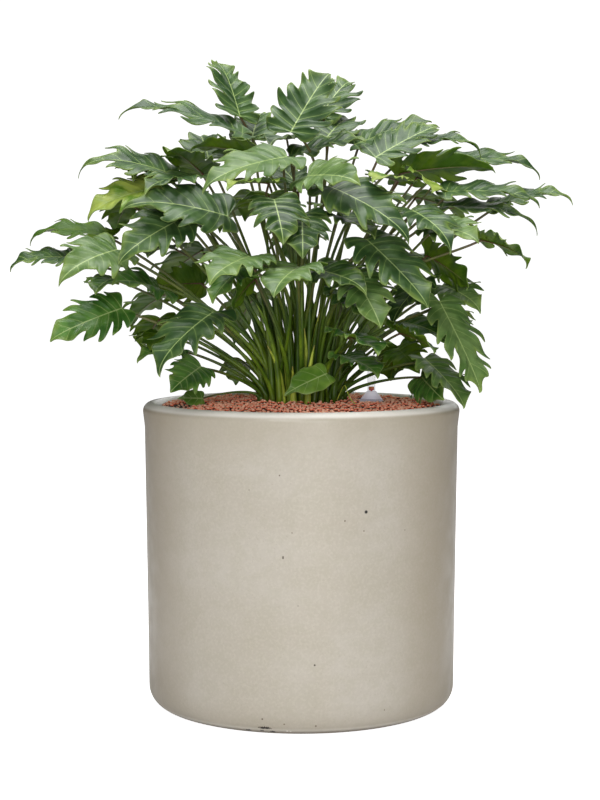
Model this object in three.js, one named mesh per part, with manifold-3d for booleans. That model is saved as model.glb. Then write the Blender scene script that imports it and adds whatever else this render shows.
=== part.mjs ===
// A potted philodendron xanadu in clay granules, with the water gauge of its planter.
// Millimetres, +Z up. The origin is the centre of the pot's base and the plant's front faces -Y.
import * as THREE from 'three';
import { mergeVertices } from 'three/addons/utils/BufferGeometryUtils.js';
import Module from 'manifold-3d';

const wasm = await Module();
wasm.setup();

// Gap between pieces that touch on the real object.
const GAP = 0.3;

// Pot: a slightly tapered cylinder with a fully rounded lip.
const POT_HEIGHT = 413;
const RIM_RADIUS = 215;
const LIP_RADIUS = 12;
const NECK_RADIUS = 212.5;
const NECK_HEIGHT = 380;
const FOOT_RADIUS = 208.5;
const FOOT_ROUNDING = 27;
const POT_FLOOR = 16;
const FLOOR_RADIUS = 165;
const COVE_RADIUS = 189;
const COVE_HEIGHT = 60;
const POT_SIDES = 36;
const FOOT_STEPS = 4;
const LIP_STEPS = 5;

// Clay granules: level at the wall, height of the heap round the plant, and size of their relief.
const GRANULE_LEVEL = 405.5;
const HEAP_HEIGHT = 7;
const RELIEF = 2.2;
const RELIEF_STEP = 16;
const RELIEF_SEEDS = [12.9898, 78.233, 43758.5453];
const GRANULE_SIDES = 40;
const WALL_CLEARANCE = 1.1;

// Crown: the short stem that stalks and sheaths grow from, with its top level with the granules.
const CROWN_RADIUS = 62;
const CROWN_TOP = 413.5;
const CROWN_BOTTOM = 350;
const CROWN_TAPER = 0.7;
const CROWN_SIDES = 24;
const ROOT_SPREAD = 57;

// Water gauge: a clear tube down to the pot's floor, a skirt on the granules and a float inside.
const GAUGE_X = 95.8;
const GAUGE_Y = 8;
const TUBE_RADIUS = 5.5;
const TUBE_BORE = 4.3;
const TUBE_TOP = 476;
const TUBE_CAP = 3;
const TUBE_SIDES = 12;
const SKIRT_FOOT = 412;
const SKIRT_BRIM = 414;
const SKIRT_WAIST = 422;
const SKIRT_TOP = 426;
const SKIRT_RADIUS = 16;
const SKIRT_WAIST_RADIUS = 9.4;
const SKIRT_TOP_RADIUS = 6.7;
const SKIRT_SIDES = 16;
const FLOAT_RADIUS = 3.8;
const FLOAT_LENGTH = 60;
const FLOAT_SHOULDER = 4;
const FLOAT_SIDES = 10;
const ROD_RADIUS = 1.2;
const MARK_LOW = 427;
const MARK_HIGH = 432;

// Blades: thickness, how the halves are folded up along the midrib and droop to the margin, and how the
// midrib curves. Its pulls are shares of the leaf's length, and its near arch a share of its full arch.
const BLADE = 0.9;
const FOLD = 0.34;
const DROOP = 0.3;
const NEAR_PULL = 0.4;
const NEAR_ARCH = 0.6;
const FAR_PULL = 0.95;

// Stalks: how far along the midrib they end, the least height at which they bend away from upright, and
// where their upper bend lies as shares of the way from the crown to the blade.
const STALK_RADIUS = 2.3;
const STALK_SIDES = 3;
const STALK_STEPS = 3;
const STALK_JOINT = 0.045;
const LEAST_RISE = 14;
const UPPER_BEND = 0.7;
const UPPER_LIFT = 0.1;

// The clasping foot that holds the stalks of a node with several leaves, in a ring.
const FOOT_HEIGHT = 7;
const FOOT_SINK = 2;
const FOOT_MARGIN = 3.4;
const FOOT_SIDES = 6;
const PAIR_SPACING = 3;
const BUNCH_SPACING = 4.2;
const BUNCH_COUNT = 4;

// The front view that places the leaves: distance and height of the eye.
const EYE_DISTANCE = 2476;
const EYE_HEIGHT = 592;

// Each leaf: its node, the base and the tip of its blade (across, up, depth), its width, how far it
// arches, its roll in degrees, how deep its lobes are cut, and its tone. Across and up are read on the
// upright plane through the pot's axis, as the eye sees them, and depth is measured away from the eye.
const LEAVES = [
  ['leaf_01', [-78, 774, 20], [-246, 793, 5], 95, 36, -18, 0.28, 'grey'],
  ['leaf_02', [-83, 797, 60], [-116, 868, 120], 85, 14, 15, 0.3, 'grey'],
  ['leaf_03', [-174, 719, 0], [-301, 714, -10], 80, 42, -28, 0.3, 'grey'],
  ['leaf_07', [-14, 776, 10], [39, 853, 60], 95, 12, 25, 0.3, 'grey'],
  ['leaf_10', [-19, 743, -60], [-133, 693, -120], 90, 24, -25, 0.3, 'pale'],
  ['leaf_11', [8, 717, -70], [80, 704, -145], 80, 16, 35, 0.3, 'pale'],
  ['leaf_12', [100, 742, -10], [186, 782, 40], 72, 10, 30, 0.32, 'grey'],
  ['leaf_13', [72, 759, 60], [176, 789, 60], 78, 8, 25, 0.3, 'grey'],
  ['leaf_14', [141, 767, 30], [242, 747, 25], 72, 34, 15, 0.3, 'grey'],
  ['leaf_18', [258, 675, 30], [367, 678, 10], 75, 28, 18, 0.32, 'grey'],
  ['leaf_19', [189, 667, -10], [319, 629, -25], 75, 33, 15, 0.32, 'grey'],
  ['leaf_22', [36, 704, -80], [145, 625, -135], 95, 26, 28, 0.32, 'grey'],
  ['leaf_23', [88, 632, -90], [171, 539, -160], 96, 12, 15, 0.35, 'grey'],
  ['leaf_26', [187, 549, -60], [243, 424, -120], 85, 8, 0, 0.38, 'grey'],
  ['leaf_27', [167, 471, -50], [221, 402, -112], 72, 12, 0, 0.35, 'grey'],
  ['leaf_37', [-119, 534, -120], [-192, 445, -170], 100, 26, -15, 0.35, 'grey'],
  ['leaf_38', [-243, 539, -60], [-341, 493, -90], 78, 12, -45, 0.38, 'grey'],
  ['leaf_40', [-256, 636, 0], [-367, 623, 0], 75, 30, -18, 0.3, 'olive'],
  ['leaf_41', [-185, 711, -30], [-288, 664, -60], 82, 25, -32, 0.3, 'olive'],
  ['leaf_43', [-99, 663, -70], [-243, 668, -100], 98, 30, -38, 0.3, 'deep'],
  ['leaf_44', [-155, 663, -90], [-247, 598, -150], 95, 18, -32, 0.32, 'grey'],
  ['leaf_45', [-192, 565, -20], [-257, 570, -80], 88, 14, -30, 0.32, 'deep'],
  ['leaf_34', [-3, 595, -150], [-37, 553, -230], 90, 14, 0, 0.32, 'pale'],
  ['leaf_35', [-70, 601, -140], [-124, 561, -210], 95, 16, -12, 0.32, 'pale'],
  ['leaf_33', [69, 602, -140], [107, 528, -205], 82, 10, 10, 0.35, 'pale'],
  ['leaf_32', [17, 591, -100], [88, 556, -165], 80, 18, 20, 0.3, 'deep'],
  ['leaf_09', [-15, 744, 30], [87, 763, 0], 90, 10, 20, 0.3, 'deep'],
  ['leaf_15', [126, 720, 10], [262, 721, -10], 80, 20, -35, 0.3, 'olive'],
  ['leaf_15', [155, 725, 20], [176, 702, -60], 60, 10, -30, 0.25, 'olive'],
  ['leaf_16', [189, 738, 40], [322, 712, 30], 75, 30, 20, 0.3, 'grey'],
  ['leaf_16', [183, 716, 60], [259, 727, 95], 60, 10, 0, 0.25, 'deep'],
  ['leaf_17', [195, 704, 0], [322, 682, -20], 75, 22, 20, 0.3, 'grey'],
  ['leaf_20', [239, 633, -40], [304, 592, -95], 80, 20, -25, 0.32, 'olive'],
  ['leaf_20', [178, 649, -60], [240, 626, -130], 70, 14, 25, 0.3, 'pale'],
  ['leaf_21', [148, 664, -90], [201, 603, -150], 75, 25, 10, 0.32, 'grey'],
  ['leaf_21', [133, 710, -30], [96, 708, -110], 60, 12, -10, 0.28, 'pale'],
  ['leaf_49', [-37, 686, -120], [-25, 625, -165], 80, 10, 0, 0.35, 'deep'],
  ['leaf_49', [-41, 708, -80], [-100, 697, -150], 65, 12, 0, 0.28, 'grey'],
  ['leaf_50', [1, 666, -110], [2, 606, -165], 75, 10, 0, 0.32, 'deep'],
  ['leaf_50', [25, 679, 0], [54, 664, -70], 45, 8, 0, 0.2, 'pale'],
  ['leaf_50', [47, 664, -30], [99, 632, -90], 70, 10, 0, 0.28, 'deep'],
  ['leaf_28', [131, 507, -60], [180, 477, -120], 65, 10, -30, 0.32, 'grey'],
  ['leaf_28', [137, 520, -30], [202, 479, -70], 70, 24, 20, 0.3, 'grey'],
  ['leaf_29', [59, 494, -110], [104, 466, -190], 80, 12, -10, 0.32, 'grey'],
  ['leaf_36', [-70, 602, -110], [-120, 545, -160], 80, 10, 0, 0.3, 'deep'],
  ['leaf_36', [-61, 573, -100], [-91, 527, -150], 70, 10, 60, 0.25, 'grey'],
  ['leaf_39', [-249, 618, -80], [-329, 568, -150], 85, 28, -35, 0.32, 'pale'],
  ['leaf_39', [-307, 607, -20], [-394, 588, -30], 65, 20, -20, 0.3, 'grey'],
  ['leaf_48', [-136, 460, -60], [-178, 424, -92], 60, 8, -40, 0.18, 'grey'],
  ['leaf_48', [-134, 416, -35], [-168, 416, -45], 26, 3, 0, 0.12, 'deep'],
  ['leaf_25', [167, 613, 0], [224, 564, -55], 70, 14, -60, 0.3, 'olive'],
  ['leaf_25', [191, 570, 20], [243, 531, -40], 70, 18, 20, 0.3, 'grey'],
  ['leaf_25', [170, 572, -20], [126, 509, -60], 75, 12, 0, 0.3, 'deep'],
  ['leaf_08', [26, 797, 70], [68, 838, 130], 75, 22, 20, 0.3, 'grey'],
  ['leaf_08', [35, 769, 60], [69, 781, 130], 70, 26, 10, 0.28, 'grey'],
  ['leaf_05', [-125, 740, 80], [-137, 768, 165], 78, 12, 0, 0.3, 'grey'],
  ['leaf_05', [-67, 765, 90], [-53, 799, 165], 75, 12, 0, 0.28, 'grey'],
  ['leaf_04', [-205, 732, 60], [-227, 717, -30], 70, 22, 0, 0.28, 'olive'],
  ['leaf_04', [-131, 719, 20], [-180, 750, -75], 75, 10, 0, 0.28, 'olive'],
  ['leaf_04', [-143, 716, -20], [-211, 691, -100], 70, 18, -10, 0.28, 'grey'],
  ['leaf_06', [-50, 751, 30], [-150, 757, 10], 62, 18, 25, 0.28, 'olive'],
  ['leaf_06', [-18, 767, 70], [-42, 754, -15], 60, 14, 0, 0.28, 'grey'],
  ['leaf_24', [35, 450, -60], [-23, 419, -85], 46, 8, -45, 0.05, 'deep'],
  ['leaf_30', [59, 474, -60], [104, 443, -110], 70, 10, 0, 0.28, 'deep'],
  ['leaf_30', [56, 560, -40], [97, 519, -100], 80, 10, 0, 0.28, 'deep'],
  ['leaf_31', [131, 488, 20], [122, 440, 60], 60, 6, 0, 0.25, 'olive'],
  ['leaf_31', [131, 485, 10], [161, 450, -50], 60, 8, 30, 0.28, 'olive'],
  ['leaf_31', [163, 455, -40], [195, 422, -112], 60, 8, 60, 0.28, 'grey'],
  ['leaf_42', [-233, 686, -10], [-252, 640, 50], 60, 8, 0, 0.28, 'olive'],
  ['leaf_42', [-171, 622, 60], [-208, 607, -20], 60, 10, 0, 0.25, 'deep'],
  ['leaf_46', [-254, 588, -30], [-279, 565, -90], 60, 10, 0, 0.28, 'deep'],
  ['leaf_46', [-131, 573, 40], [-201, 566, 0], 65, 10, 60, 0.28, 'grey'],
  ['leaf_47', [-192, 526, 10], [-216, 484, 50], 65, 6, 0, 0.28, 'olive'],
  ['leaf_47', [-188, 505, 20], [-205, 481, -40], 60, 8, 0, 0.25, 'olive'],
  ['leaf_47', [-159, 482, -20], [-223, 464, -60], 65, 15, -15, 0.28, 'grey'],
  ['leaf_51', [-42, 693, -20], [-76, 656, 40], 70, 10, 0, 0.28, 'olive'],
  ['leaf_52', [-76, 466, 150], [-89, 434, 222], 65, 8, 0, 0.25, 'deep'],
  ['leaf_52', [-130, 620, 150], [-190, 560, 230], 85, 20, 0, 0.3, 'grey'],
  ['leaf_52', [-60, 560, 190], [-90, 490, 265], 85, 20, 0, 0.3, 'grey'],
  ['leaf_52', [-180, 560, 110], [-230, 510, 175], 80, 20, 0, 0.3, 'grey'],
  ['leaf_52', [-150, 690, 110], [-215, 650, 190], 85, 22, 0, 0.3, 'grey'],
  ['leaf_53', [-2, 700, 80], [-34, 727, 160], 75, 12, 0, 0.28, 'deep'],
  ['leaf_53', [-60, 690, 140], [-110, 640, 235], 85, 20, 0, 0.3, 'grey'],
  ['leaf_53', [0, 650, 170], [-10, 590, 265], 85, 20, 0, 0.3, 'grey'],
  ['leaf_54', [70, 700, 130], [120, 655, 230], 85, 20, 0, 0.3, 'grey'],
  ['leaf_54', [140, 610, 150], [210, 560, 235], 85, 20, 0, 0.3, 'grey'],
  ['leaf_54', [70, 550, 190], [100, 480, 265], 85, 20, 0, 0.3, 'grey'],
  ['leaf_54', [185, 545, 110], [225, 505, 180], 62, 12, 0, 0.3, 'grey'],
  ['leaf_54', [150, 690, 110], [220, 650, 190], 85, 22, 0, 0.3, 'grey'],
].map(([node, base, tip, width, arch, roll, cut, tone]) => ({
  node, base, tip, width, arch, roll, cut, tone,
}));

// Tips of the pale pointed sheaths that stand on the crown, read in the same way.
const SHEATH_TIPS = [
  [-46, 488, -70],
  [-12, 460, -75],
  [-37, 519, -45],
  [25, 534, -50],
  [4, 512, -60],
  [18, 489, -72],
];
const SHEATH_RADIUS = 4.5;
const SHEATH_TIP_RADIUS = 0.5;
const SHEATH_SIDES = 5;
const SHEATH_STEPS = 3;
const SHEATH_SINK = 4;
const SHEATH_BEND = 0.55;

// Half of a blade's margin from the heart-shaped base to the tip. Each point has the place on the midrib
// where its vein starts, its own place along the leaf, its distance out from the midrib, and whether it
// is a notch between two lobes. Lengths are shares of the leaf's length and of its half width. A notch
// lies ahead of the vein that runs to the lobe before it, so that the sheet doesn't fold over itself.
const FIRST_VEIN = 0.1;
const MARGIN = [
  { vein: 0, along: 0, out: 0, notch: 0 },
  { vein: 0, along: -0.15, out: 0.62, notch: 0 },
  { vein: 0, along: 0, out: 0.85, notch: 0.7 },
  { vein: FIRST_VEIN, along: 0.16, out: 1, notch: 0 },
  { vein: FIRST_VEIN, along: 0.165, out: 0.86, notch: 1 },
  { vein: 0.22, along: 0.32, out: 0.97, notch: 0 },
  { vein: 0.22, along: 0.305, out: 0.76, notch: 1 },
  { vein: 0.36, along: 0.49, out: 0.82, notch: 0 },
  { vein: 0.36, along: 0.46, out: 0.6, notch: 1 },
  { vein: 0.52, along: 0.64, out: 0.56, notch: 0 },
  { vein: 0.74, along: 0.83, out: 0.26, notch: 0 },
  { vein: 1, along: 1, out: 0, notch: 0 },
];

// Moves that bend a leaf clear of the others: a blade goes back or forward and up or down, the nearest
// place first, and its stalk bows to one side and leaves the crown sooner or later.
const DEPTH_MOVES = [0, 12, -12, 24, -24, 36, -36, 50, -50, 65, -65];
const LIFT_MOVES = [0, 8, -8, 16, -16];
const STALK_BOWS = [0, 9, -9, 18, -18, 28, -28, 40, -40, 54, -54, 70, -70, 88, -88];
const STALK_RISES = [0.34, 0.2, 0.5, 0.65, 0.8];
const MOVES = DEPTH_MOVES.flatMap((depth) => LIFT_MOVES.map((lift) => ({ depth, lift })))
  .sort((a, b) => Math.hypot(a.depth, 2 * a.lift) - Math.hypot(b.depth, 2 * b.lift));
const SHAPES = STALK_BOWS.flatMap((bow) => STALK_RISES.map((rise) => ({ bow, rise })));

const MATERIALS = {
  pot: { color: 0xbeb6a8, roughness: 0.35, metalness: 0 },
  granules: { color: 0xa0603f, roughness: 0.95, metalness: 0 },
  stem: { color: 0xc6cf92, roughness: 0.6, metalness: 0 },
  clear: { color: 0xdedee6, roughness: 0.1, metalness: 0, transparent: true, opacity: 0.4 },
  skirt: { color: 0x9b96a3, roughness: 0.3, metalness: 0 },
  float: { color: 0xd8442c, roughness: 0.4, metalness: 0 },
  grey: { color: 0x5f7d69, roughness: 0.5, metalness: 0 },
  pale: { color: 0x96af91, roughness: 0.5, metalness: 0 },
  deep: { color: 0x37553c, roughness: 0.45, metalness: 0 },
  olive: { color: 0x6a7f2c, roughness: 0.55, metalness: 0 },
};

const UP = new THREE.Vector3(0, 0, 1);

// Turns a closed geometry into a solid, with shared vertices merged and collapsed triangles dropped.
function solidOf(geometry) {
  geometry.deleteAttribute('normal');
  geometry.deleteAttribute('uv');
  const merged = mergeVertices(geometry, 1e-4);
  const corners = merged.index.array;
  const kept = [];
  for (let i = 0; i < corners.length; i += 3) {
    const [a, b, c] = corners.slice(i, i + 3);
    if (a !== b && b !== c && c !== a) kept.push(a, b, c);
  }
  return new wasm.Manifold(new wasm.Mesh({
    numProp: 3,
    vertProperties: new Float32Array(merged.attributes.position.array),
    triVerts: new Uint32Array(kept),
  }));
}

function meshOf(name, solid, material) {
  const { vertProperties, triVerts } = solid.getMesh();
  const geometry = new THREE.BufferGeometry();
  geometry.setAttribute('position', new THREE.BufferAttribute(vertProperties, 3));
  geometry.setIndex(new THREE.BufferAttribute(triVerts, 1));
  const mesh = new THREE.Mesh(geometry, new THREE.MeshStandardMaterial(MATERIALS[material]));
  mesh.name = name;
  return mesh;
}

// A turned piece: the profile's points are a radius and a height.
function turned(profile, sides, x = 0, y = 0) {
  const geometry = new THREE.LatheGeometry(profile.map(([r, z]) => new THREE.Vector2(r, z)), sides);
  geometry.rotateX(Math.PI / 2);
  geometry.translate(x, y, 0);
  return geometry;
}

// A round bar between two heights.
function bar(radius, low, high, sides, x = 0, y = 0, lowRadius = radius) {
  const geometry = new THREE.CylinderGeometry(radius, lowRadius, high - low, sides);
  geometry.rotateX(Math.PI / 2);
  geometry.translate(x, y, (low + high) / 2);
  return geometry;
}

function arc(centreRadius, centreHeight, radius, from, to, steps) {
  const points = [];
  for (let i = 0; i <= steps; i++) {
    const angle = THREE.MathUtils.degToRad(THREE.MathUtils.lerp(from, to, i / steps));
    points.push([centreRadius + radius * Math.cos(angle), centreHeight + radius * Math.sin(angle)]);
  }
  return points;
}

function potSolid() {
  const lipCentre = RIM_RADIUS - LIP_RADIUS;
  const lipHeight = POT_HEIGHT - LIP_RADIUS;
  return solidOf(turned([
    [0, 0],
    ...arc(FOOT_RADIUS - FOOT_ROUNDING, FOOT_ROUNDING, FOOT_ROUNDING, -90, 0, FOOT_STEPS),
    [NECK_RADIUS, NECK_HEIGHT],
    ...arc(lipCentre, lipHeight, LIP_RADIUS, 0, 180, LIP_STEPS),
    [COVE_RADIUS, COVE_HEIGHT],
    [FLOOR_RADIUS, POT_FLOOR],
    [0, POT_FLOOR],
  ], POT_SIDES));
}

// A repeatable value between -1 and 1 for each place on the granules.
function roughness(x, y) {
  const [seedX, seedY, spread] = RELIEF_SEEDS;
  const wave = spread * Math.sin(Math.round(x) * seedX + Math.round(y) * seedY);
  return 2 * (wave - Math.floor(wave)) - 1;
}

function granuleHeight(x, y) {
  const radius = Math.hypot(x, y);
  const heap = GRANULE_LEVEL + HEAP_HEIGHT * (1 - (radius / RIM_RADIUS) ** 2);
  const fromGauge = Math.hypot(x - GAUGE_X, y - GAUGE_Y);
  if (fromGauge < SKIRT_RADIUS + RELIEF_STEP) return SKIRT_FOOT - GAP;
  return heap + RELIEF * roughness(x, y);
}

function substrateSolid() {
  const wall = RIM_RADIUS - 2 * LIP_RADIUS - WALL_CLEARANCE;
  const bottom = POT_FLOOR + GAP;
  const profile = [
    [0, bottom],
    [FLOOR_RADIUS - WALL_CLEARANCE, bottom],
    [COVE_RADIUS - WALL_CLEARANCE, COVE_HEIGHT],
  ];
  for (let radius = wall; radius > CROWN_RADIUS; radius -= RELIEF_STEP) {
    profile.push([radius, POT_HEIGHT]);
  }
  profile.push([0, POT_HEIGHT]);
  const geometry = turned(profile, GRANULE_SIDES);
  const place = geometry.attributes.position;
  for (let i = 0; i < place.count; i++) {
    if (place.getZ(i) > COVE_HEIGHT) place.setZ(i, granuleHeight(place.getX(i), place.getY(i)));
  }
  const above = POT_HEIGHT * 2;
  const crownHole = solidOf(bar(CROWN_RADIUS + GAP, CROWN_BOTTOM - GAP, above, GRANULE_SIDES));
  const gaugeHole = solidOf(bar(TUBE_RADIUS + GAP, 0, above, SKIRT_SIDES, GAUGE_X, GAUGE_Y));
  return solidOf(geometry).subtract(crownHole).subtract(gaugeHole);
}

// Where a point read in the front view lies, once its depth is known.
function seen([across, up, depth]) {
  const scale = (EYE_DISTANCE + depth) / EYE_DISTANCE;
  return new THREE.Vector3(across * scale, depth, EYE_HEIGHT + (up - EYE_HEIGHT) * scale);
}

// Places on the crown in a sunflower's pattern, one for each leaf node and sheath.
function crownPlaces(count) {
  const turn = Math.PI * (3 - Math.sqrt(5));
  return Array.from({ length: count }, (_, i) => {
    const radius = ROOT_SPREAD * Math.sqrt((i + 0.5) / count);
    return new THREE.Vector3(radius * Math.cos(i * turn), radius * Math.sin(i * turn), CROWN_TOP);
  });
}

// The free place nearest to where a stalk that leans this way would leave the crown.
function takePlace(places, head) {
  const lean = new THREE.Vector3(head.x, head.y, 0);
  const slope = lean.length() / (head.z - CROWN_TOP);
  const wanted = lean.clone().setLength(ROOT_SPREAD * Math.min(1, slope));
  places.sort((a, b) => flatDistance(a, wanted) - flatDistance(b, wanted));
  return places.shift();
}

function flatDistance(a, b) {
  return Math.hypot(a.x - b.x, a.y - b.y);
}

// A pointed sheath: a tapering bar bent along a curve from the crown to its tip.
function sheathSolid(foot, tip) {
  const rise = tip.z - foot.z;
  const path = new THREE.QuadraticBezierCurve3(
    new THREE.Vector3(foot.x, foot.y, foot.z - SHEATH_SINK),
    new THREE.Vector3(foot.x, foot.y, foot.z + rise * SHEATH_BEND),
    tip,
  );
  const geometry = new THREE.CylinderGeometry(
    SHEATH_TIP_RADIUS, SHEATH_RADIUS, 1, SHEATH_SIDES, SHEATH_STEPS,
  );
  const place = geometry.attributes.position;
  for (let i = 0; i < place.count; i++) {
    const centre = path.getPoint(place.getY(i) + 0.5);
    place.setXYZ(i, centre.x + place.getX(i), centre.y - place.getZ(i), centre.z);
  }
  return solidOf(geometry);
}

// The middle line of a blade and the directions along it, for a leaf that is moved a little.
function bladeFrame(leaf, move) {
  const [base, tip] = [leaf.base, leaf.tip]
    .map(([across, up, depth]) => seen([across, up + move.lift, depth + move.depth]));
  const chord = tip.clone().sub(base);
  const length = chord.length();
  const along = chord.clone().normalize();
  const level = UP.clone().addScaledVector(along, -UP.dot(along)).normalize();
  const face = level.clone().applyAxisAngle(along, THREE.MathUtils.degToRad(leaf.roll));
  const side = along.clone().cross(face);
  const midrib = new THREE.CubicBezierCurve3(
    base,
    base.clone().addScaledVector(chord, NEAR_PULL).addScaledVector(face, leaf.arch * NEAR_ARCH),
    base.clone().addScaledVector(chord, FAR_PULL).addScaledVector(face, leaf.arch),
    tip,
  );
  return { base, along, face, side, midrib, length };
}

// One point of the blade: part is where its vein leaves the midrib, ahead how much further along the leaf
// it lies, out its signed distance sideways, and above its height over the blade's middle surface.
function bladePoint(frame, leaf, part, ahead, out, above) {
  const tangent = frame.midrib.getTangent(part);
  const normal = frame.side.clone().cross(tangent).normalize();
  const half = leaf.width / 2;
  const spread = Math.abs(out);
  const lift = half * (FOLD * spread - DROOP * spread * spread);
  return frame.midrib.getPoint(part)
    .addScaledVector(tangent, ahead * frame.length)
    .addScaledVector(frame.side, out * half)
    .addScaledVector(normal, lift + above);
}

// A blade: a sheet of two columns, from margin to midrib to margin, with a copy a thickness below it.
function bladeSolid(leaf, move, thickness) {
  const frame = bladeFrame(leaf, move);
  const rows = MARGIN.length - 1;
  const sheet = new THREE.PlaneGeometry(2, rows, 2, rows);
  const upper = sheet.attributes.position;
  const lower = upper.clone();
  for (let i = 0; i < upper.count; i++) {
    const { vein, along, out, notch } = MARGIN[Math.round(rows / 2 + upper.getY(i))];
    const column = upper.getX(i);
    const reach = column * out * (1 - notch * leaf.cut);
    const ahead = Math.abs(column) * (along - vein);
    const top = bladePoint(frame, leaf, vein, ahead, reach, thickness / 2);
    const bottom = bladePoint(frame, leaf, vein, ahead, reach, -thickness / 2);
    upper.setXYZ(i, top.x, top.y, top.z);
    lower.setXYZ(i, bottom.x, bottom.y, bottom.z);
  }
  return sheetSolid(upper, lower, sheet.index.array);
}

// Closes an upper and a lower sheet of the same triangles into one solid, round their outer edge.
function sheetSolid(upper, lower, corners) {
  const merged = new THREE.BufferGeometry();
  merged.setAttribute('position', upper);
  merged.setIndex([...corners]);
  const welded = mergeVertices(merged, 1e-3).index.array;
  const source = new Map();
  corners.forEach((corner, i) => {
    if (!source.has(welded[i])) source.set(welded[i], corner);
  });
  const points = [];
  const number = new Map();
  for (const [weld, corner] of source) {
    number.set(weld, points.length);
    points.push(corner);
  }
  const under = points.length;
  const faces = [];
  const rim = new Map();
  for (let i = 0; i < welded.length; i += 3) {
    const [a, b, c] = [...welded.slice(i, i + 3)].map((weld) => number.get(weld));
    if (a === b || b === c || c === a) continue;
    faces.push(a, b, c, c + under, b + under, a + under);
    for (const [from, to] of [[a, b], [b, c], [c, a]]) {
      if (!rim.delete(`${to} ${from}`)) rim.set(`${from} ${to}`, [from, to]);
    }
  }
  for (const [from, to] of rim.values()) {
    faces.push(to, from, from + under, to, from + under, to + under);
  }
  const places = [];
  for (const layer of [upper, lower]) {
    for (const i of points) places.push(layer.getX(i), layer.getY(i), layer.getZ(i));
  }
  const closed = new THREE.BufferGeometry();
  closed.setAttribute('position', new THREE.Float32BufferAttribute(places, 3));
  closed.setIndex(faces);
  return solidOf(closed);
}

// The stalk's path: straight up out of the crown, then over to the blade, bowed sideways to pass others.
function stalkPath(leaf, foot, move, shape) {
  const frame = bladeFrame(leaf, move);
  const head = frame.base.clone().lerp(frame.midrib.getPoint(FIRST_VEIN), STALK_JOINT / FIRST_VEIN);
  const reach = head.clone().sub(foot);
  const sideways = new THREE.Vector3(-reach.y, reach.x, 0).normalize();
  const rise = Math.max(LEAST_RISE, shape.rise * reach.z);
  return new THREE.CubicBezierCurve3(
    foot,
    foot.clone().addScaledVector(UP, rise),
    foot.clone().addScaledVector(reach, UPPER_BEND)
      .addScaledVector(UP, UPPER_LIFT * reach.length())
      .addScaledVector(sideways, shape.bow),
    head,
  );
}

// Stalks that share a place on the crown stand in a ring on one clasping foot.
function ringSpacing(count) {
  return count < BUNCH_COUNT ? PAIR_SPACING : BUNCH_SPACING;
}

function footTop(place, angle, count) {
  if (count === 1) return place.clone().setZ(CROWN_TOP + GAP);
  const spacing = ringSpacing(count);
  const aside = new THREE.Vector3(spacing * Math.cos(angle), spacing * Math.sin(angle), 0);
  return place.clone().add(aside).setZ(CROWN_TOP + GAP + FOOT_HEIGHT - FOOT_SINK);
}

function footSolid(place, count) {
  const low = CROWN_TOP + GAP;
  const radius = ringSpacing(count) + FOOT_MARGIN;
  return solidOf(bar(radius, low, low + FOOT_HEIGHT, FOOT_SIDES, place.x, place.y));
}

function stalkSolid(path, radius) {
  const section = new THREE.Shape(Array.from({ length: STALK_SIDES }, (_, i) => {
    const angle = (2 * Math.PI * i) / STALK_SIDES;
    return new THREE.Vector2(radius * Math.cos(angle), radius * Math.sin(angle));
  }));
  return solidOf(new THREE.ExtrudeGeometry(section, {
    extrudePath: path,
    steps: STALK_STEPS,
    bevelEnabled: false,
  }));
}

function apart(boxA, boxB) {
  return [0, 1, 2].some((i) => boxA.max[i] < boxB.min[i] || boxB.max[i] < boxA.min[i]);
}

function isClear(solid, obstacles) {
  const box = solid.boundingBox();
  return obstacles.every((obstacle) => {
    if (apart(box, obstacle.box)) return true;
    const common = solid.intersect(obstacle.solid);
    const clear = common.isEmpty();
    common.delete();
    return clear;
  });
}

// The solids that a leaf's blade or its stalk has to stay clear of. Stalks that share a foot may meet.
function neighbours(item, kind) {
  const found = [...fixed];
  for (const other of items) {
    const sibling = other.leaf.node === item.leaf.node;
    if (other === item) continue;
    if (other.blade) found.push(other.blade);
    if (other.stalk && !(sibling && kind === 'stalk')) found.push(other.stalk);
    if (other.foot && !sibling) found.push(other.foot);
  }
  return found;
}

function bladeFits(item, move) {
  const room = bladeSolid(item.leaf, move, BLADE + 2 * GAP);
  const clear = isClear(room, neighbours(item, 'blade'));
  room.delete();
  return clear;
}

// The first shape of the stalk that passes all that stands between the crown and the blade.
function stalkShape(item, move) {
  const around = neighbours(item, 'stalk');
  return SHAPES.find((shape) => {
    const room = stalkSolid(stalkPath(item.leaf, item.top, move, shape), STALK_RADIUS + 2 * GAP);
    const clear = isClear(room, around);
    room.delete();
    return clear;
  });
}

function setBlade(item, move) {
  item.move = move;
  item.blade = withBox(bladeSolid(item.leaf, move, BLADE));
}

// Gives a leaf its stalk, and moves its blade once more where no stalk can reach it.
function settleLeaf(item) {
  for (const move of [item.move, ...MOVES]) {
    if (move !== item.move && !bladeFits(item, move)) continue;
    const shape = stalkShape(item, move);
    if (!shape) continue;
    setBlade(item, move);
    item.stalk = withBox(stalkSolid(stalkPath(item.leaf, item.top, move, shape), STALK_RADIUS));
    return;
  }
  throw new Error(`${item.leaf.node} finds no clear stalk to ${item.leaf.base}`);
}

function withBox(solid) {
  return { solid, box: solid.boundingBox() };
}

const plant = new THREE.Group();
const fixed = [];

function keep(name, solid, material) {
  plant.add(meshOf(name, solid, material));
}

function keepFixed(name, solid, material) {
  keep(name, solid, material);
  fixed.push(withBox(solid));
}

keepFixed('pot', potSolid(), 'pot');
keepFixed('substrate', substrateSolid(), 'granules');

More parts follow.
